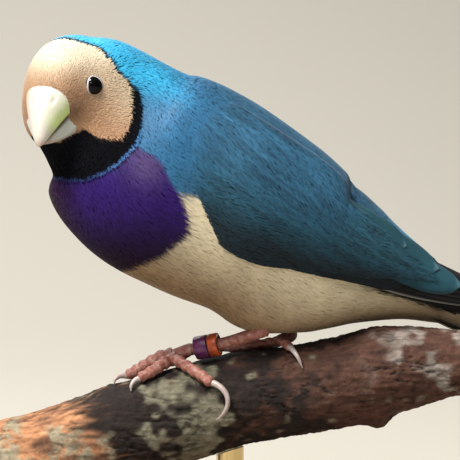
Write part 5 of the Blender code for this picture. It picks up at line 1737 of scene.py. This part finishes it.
def make_stage():
    """Backdrop, lights, room light and camera."""
    scene = bpy.context.scene
    stage = scene.finch_stage
    rows = []
    flat, bend, wall = 14, 20, 7
    for k in range(flat):
        rows.append((FLOOR_START + FLOOR_RUN * k / flat, 0.0))
    for k in range(bend):
        turn = 0.5 * math.pi * k / bend
        rows.append((0.3 + BEND_OUT * math.sin(turn), BEND_OUT - BEND_OUT * math.cos(turn)))
    for k in range(wall):
        rows.append((0.3 + BEND_OUT, BEND_OUT + WALL_HEIGHT * k / (wall - 1.0)))
    points = [(x, y, z - 0.0002) for y, z in rows for x in (-BACKDROP_HALF, BACKDROP_HALF)]
    faces = [(2 * k, 2 * k + 1, 2 * k + 3, 2 * k + 2) for k in range(len(rows) - 1)]
    mesh = bpy.data.meshes.new("backdrop")
    mesh.from_pydata(points, [], faces)
    mesh.shade_smooth()
    nodes = Nodes("backdrop", 0.9, Specular_IOR_Level=0.1)
    tone = tuple(stage.floor_colour)
    nodes.tones(nodes.grain(3.0), ((0.3, dimmed(tone, 0.97)), (0.7, tone)))
    mesh.materials.append(nodes.material)
    floor = bpy.data.objects.new("backdrop", mesh)
    scene.collection.objects.link(floor)

    for (name, place, size, colour), power in zip(LIGHTS, (stage.key_power, stage.fill_power,
                                                           stage.rim_power)):
        add_light(name, place, size, power, colour)

    world = bpy.data.worlds.new("studio")
    scene.world = world
    world.use_nodes = True
    air = world.node_tree.nodes["Background"].inputs
    air["Color"].default_value = (0.9, 0.93, 1.0, 1.0)
    air["Strength"].default_value = stage.room_light

    data = bpy.data.cameras.new("camera")
    data.sensor_fit = "HORIZONTAL"
    data.angle = math.radians(CAMERA_VIEW)
    data.clip_start = 0.01
    camera = bpy.data.objects.new("camera", data)
    scene.collection.objects.link(camera)
    pitch = math.radians(CAMERA_PITCH)
    height = CENTRE_HEIGHT * MM + CAMERA_AWAY * math.sin(pitch)
    camera.location = (0.0, -CAMERA_AWAY * math.cos(pitch), height)
    camera.rotation_euler = (0.5 * math.pi - pitch, 0.0, 0.0)
    scene.camera = camera
    scene.view_settings.view_transform = "Standard"


# What a user can change

def colour_prop(name, description, default):
    return FloatVectorProperty(name=name, description=description, default=default, subtype="COLOR",
                               size=3, min=0.0, max=1.0)


class FinchSizes(bpy.types.PropertyGroup):
    """Sizes of the bird's finer parts."""

    coat_density: FloatProperty(name="Coat density", default=1.0, min=0.05, max=2.0, subtype="FACTOR",
                                description="Tufts of the coat, against the usual number")
    tuft_size: FloatProperty(name="Tuft size", description="Length and width of a tuft, against the usual",
                             default=1.0, min=0.3, max=2.0, subtype="FACTOR")
    eye_radius: FloatProperty(name="Eye radius", description="Radius of an eyeball in millimetres",
                              default=1.66, min=1.4, max=2.2)


class FinchColours(bpy.types.PropertyGroup):
    """Colours of the plumage, the bare parts and the stand."""

    # Cream tan of the forehead, partly a painted highlight
    forehead: colour_prop("Forehead", "Cream tan of the forehead", (0.80, 0.68, 0.50))
    cheek: colour_prop("Cheek", "Tan of the cheek", (0.56, 0.44, 0.30))
    lores: colour_prop("Lores", "Brown beside the bill", (0.40, 0.215, 0.115))
    gape: colour_prop("Gape", "Dark brown at the corner of the mouth", (0.14, 0.075, 0.045))
    throat: colour_prop("Throat", "Black of the throat and the line round the mask", (0.004, 0.004, 0.006))
    ring: colour_prop("Throat edge", "Light blue edge of the throat", (0.07, 0.20, 0.48))
    ring_dark: colour_prop("Dark throat edge", "Edge of the throat low down", (0.01, 0.03, 0.11))
    nape: colour_prop("Nape", "Brilliant turquoise behind the mask", (0.035, 0.42, 0.72))
    neck: colour_prop("Neck", "Mid blue of the neck", (0.026, 0.145, 0.30))
    back: colour_prop("Back", "Steel blue of the back", (0.030, 0.125, 0.225))
    rump: colour_prop("Rump", "Bright blue of the rump", (0.06, 0.26, 0.44))
    breast: colour_prop("Breast", "Deep violet of the breast", (0.028, 0.008, 0.13))
    # Violet darkened as painted shade low on the breast
    breast_low_shade: colour_prop("Low breast", "Darkest violet", (0.012, 0.003, 0.02))
    breast_edge: colour_prop("Breast edge", "Maroon at the front of the breast", (0.025, 0.005, 0.018))
    # Mauve painted highlight high on the breast
    breast_highlight: colour_prop("Breast gloss", "Mauve gloss high on the breast", (0.09, 0.06, 0.17))
    belly: colour_prop("Belly", "Cream of the belly", (0.74, 0.64, 0.44))
    # Tan of the underside, partly painted shade
    underside_tan_and_shade: colour_prop("Underside", "Tan of the underside", (0.27, 0.175, 0.095))
    vent: colour_prop("Vent", "Buff under the tail", (0.42, 0.32, 0.20))
    # Darkest teal along the lower edge, partly painted shade
    wing_low_and_shade: colour_prop("Low wing", "Darkest teal, along the lower edge", (0.004, 0.016, 0.026))
    wing_mid: colour_prop("Mid wing", "Deep teal of the wing", (0.012, 0.066, 0.104))
    tertial: colour_prop("Inner feathers", "Green-blue of the broad inner feathers", (0.020, 0.085, 0.115))
    quill: colour_prop("Flight feathers", "Black of the flight feathers", (0.005, 0.005, 0.006))
    quill_edge: colour_prop("Feather edges", "Pale edges of the flight feathers", (0.30, 0.30, 0.28))
    pupil: colour_prop("Pupil", "Black of the pupil", (0.001, 0.001, 0.001))
    iris: colour_prop("Iris", "Dark brown of the iris", (0.004, 0.003, 0.002))
    lid: colour_prop("Lids", "Pale grey of the lids", (0.50, 0.47, 0.52))
    bill: colour_prop("Bill", "Ivory of the bill", (0.62, 0.59, 0.53))
    bill_flush: colour_prop("Bill flush", "Pink flush of the bill", (0.62, 0.44, 0.38))
    bill_green: colour_prop("Bill edge", "Yellow-green along the mouth", (0.62, 0.78, 0.26))
    bill_lower: colour_prop("Lower bill", "Greenish white of the lower half", (0.54, 0.56, 0.50))
    # Dark mouth line, painted shade where the bill shuts
    mouth: colour_prop("Mouth line", "Dark line where the bill shuts", (0.12, 0.09, 0.05))
    # Brown of the nostrils, darkened as painted shade in their pits
    nostril: colour_prop("Nostrils", "Brown of the nostrils", (0.16, 0.10, 0.08))
    bill_tip: colour_prop("Bill tip", "Pinkish brown of the tip", (0.42, 0.27, 0.21))
    leg: colour_prop("Legs", "Pink of the legs", (0.33, 0.13, 0.10))
    leg_dark: colour_prop("Leg shade", "Dark red of the legs", (0.18, 0.055, 0.04))
    leg_pale: colour_prop("Leg scales", "Pale scales of the legs", (0.44, 0.27, 0.22))
    claw: colour_prop("Claws", "Horn of the claws", (0.30, 0.22, 0.20))
    claw_pale: colour_prop("Claw tips", "Pale horn of the claws", (0.48, 0.41, 0.39))
    band_purple: colour_prop("Purple band", "Purple half of the leg band", (0.09, 0.012, 0.07))
    band_orange: colour_prop("Orange band", "Orange half of the leg band", (0.38, 0.06, 0.012))
    # Darkest bark, partly painted shade
    bark_dark_and_shade: colour_prop("Dark bark", "Darkest bark", (0.018, 0.012, 0.010))
    bark_red: colour_prop("Red bark", "Reddish brown bark", (0.085, 0.040, 0.028))
    bare_wood: colour_prop("Bare wood", "Peeled orange-brown wood", (0.42, 0.20, 0.10))
    lichen: colour_prop("Lichen", "Grey-green lichen", (0.22, 0.21, 0.15))
    lichen_pale: colour_prop("Pale lichen", "Whitish grey lichen", (0.33, 0.30, 0.27))
    base_wood: colour_prop("Base", "Dark wood of the stand", (0.16, 0.08, 0.04))
    brass: colour_prop("Rod", "Brass of the rod", (0.78, 0.58, 0.28))


class FinchStage(bpy.types.PropertyGroup):
    """Floor and lights."""

    floor_colour: colour_prop("Floor", "Pale floor and backdrop", (0.50, 0.47, 0.41))
    key_power: FloatProperty(name="Key light", description="Power of the main light", default=11.5, min=0.0)
    fill_power: FloatProperty(name="Fill light", description="Power of the fill light", default=1.1, min=0.0)
    rim_power: FloatProperty(name="Rim light", description="Power of the light behind", default=2.5, min=0.0)
    room_light: FloatProperty(name="Room light", description="Strength of the light all round", default=0.20,
                              min=0.0)


class FINCH_OT_skin(bpy.types.Operator):
    """Make the skin of the head and body"""

    bl_idname = "finch.skin"
    bl_label = "Skin"

    def execute(self, context):
        make_skin()
        return {"FINISHED"}


class FINCH_OT_coat(bpy.types.Operator):
    """Lay the small feathers over the head and body"""

    bl_idname = "finch.coat"
    bl_label = "Coat"

    def execute(self, context):
        make_coat()
        return {"FINISHED"}


class FINCH_OT_eyes(bpy.types.Operator):
    """Make the eyes and their lids"""

    bl_idname = "finch.eyes"
    bl_label = "Eyes"

    def execute(self, context):
        make_eyes()
        return {"FINISHED"}


class FINCH_OT_bill(bpy.types.Operator):
    """Make both halves of the bill"""

    bl_idname = "finch.bill"
    bl_label = "Bill"

    def execute(self, context):
        make_bill()
        return {"FINISHED"}


class FINCH_OT_wings(bpy.types.Operator):
    """Make the closed wings with their feathers"""

    bl_idname = "finch.wings"
    bl_label = "Wings"

    def execute(self, context):
        make_wings()
        return {"FINISHED"}


class FINCH_OT_tail(bpy.types.Operator):
    """Make the tail feathers"""

    bl_idname = "finch.tail"
    bl_label = "Tail"

    def execute(self, context):
        make_tail()
        return {"FINISHED"}


class FINCH_OT_legs(bpy.types.Operator):
    """Make the scaled legs and toes"""

    bl_idname = "finch.legs"
    bl_label = "Legs"

    def execute(self, context):
        make_legs()
        return {"FINISHED"}


class FINCH_OT_claws(bpy.types.Operator):
    """Make the claws"""

    bl_idname = "finch.claws"
    bl_label = "Claws"

    def execute(self, context):
        make_claws()
        return {"FINISHED"}


class FINCH_OT_bands(bpy.types.Operator):
    """Make the leg band's two rings"""

    bl_idname = "finch.bands"
    bl_label = "Leg band"

    def execute(self, context):
        make_bands()
        return {"FINISHED"}


class FINCH_OT_perch(bpy.types.Operator):
    """Make the branch with its bark"""

    bl_idname = "finch.perch"
    bl_label = "Perch"

    def execute(self, context):
        make_perch()
        return {"FINISHED"}


class FINCH_OT_stand(bpy.types.Operator):
    """Finish the display stand"""

    bl_idname = "finch.stand"
    bl_label = "Stand"

    def execute(self, context):
        make_stand()
        return {"FINISHED"}


class FINCH_OT_stage(bpy.types.Operator):
    """Set up the floor, the lights and the camera"""

    bl_idname = "finch.stage"
    bl_label = "Stage"

    def execute(self, context):
        make_stage()
        return {"FINISHED"}


OPERATORS = (
    FINCH_OT_skin, FINCH_OT_coat, FINCH_OT_eyes, FINCH_OT_bill, FINCH_OT_wings, FINCH_OT_tail,
    FINCH_OT_legs, FINCH_OT_claws, FINCH_OT_bands, FINCH_OT_perch, FINCH_OT_stand, FINCH_OT_stage,
)


class FINCH_PT_panel(bpy.types.Panel):
    """Lists the pieces of the finch and what can be changed"""

    bl_label = "Perched Finch"
    bl_idname = "FINCH_PT_panel"
    bl_space_type = "VIEW_3D"
    bl_region_type = "UI"
    bl_category = "Finch"

    def draw(self, context):
        layout = self.layout
        for operator in OPERATORS:
            layout.operator(operator.bl_idname)
        for group in (context.scene.finch_sizes, context.scene.finch_colours, context.scene.finch_stage):
            for key in group.__annotations__:
                layout.prop(group, key)


CLASSES = (FinchSizes, FinchColours, FinchStage, *OPERATORS, FINCH_PT_panel)


def register():
    for item in CLASSES:
        bpy.utils.register_class(item)
    bpy.types.Scene.finch_sizes = PointerProperty(type=FinchSizes)
    bpy.types.Scene.finch_colours = PointerProperty(type=FinchColours)
    bpy.types.Scene.finch_stage = PointerProperty(type=FinchStage)


def unregister():
    del bpy.types.Scene.finch_stage
    del bpy.types.Scene.finch_colours
    del bpy.types.Scene.finch_sizes
    for item in reversed(CLASSES):
        bpy.utils.unregister_class(item)


def main():
    register()
    bpy.ops.finch.skin()
    bpy.ops.finch.coat()
    bpy.ops.finch.eyes()
    bpy.ops.finch.bill()
    bpy.ops.finch.wings()
    bpy.ops.finch.tail()
    bpy.ops.finch.legs()
    bpy.ops.finch.claws()
    bpy.ops.finch.bands()
    bpy.ops.finch.perch()
    bpy.ops.finch.stand()
    bpy.ops.finch.stage()


if __name__ == "__main__":
    main()
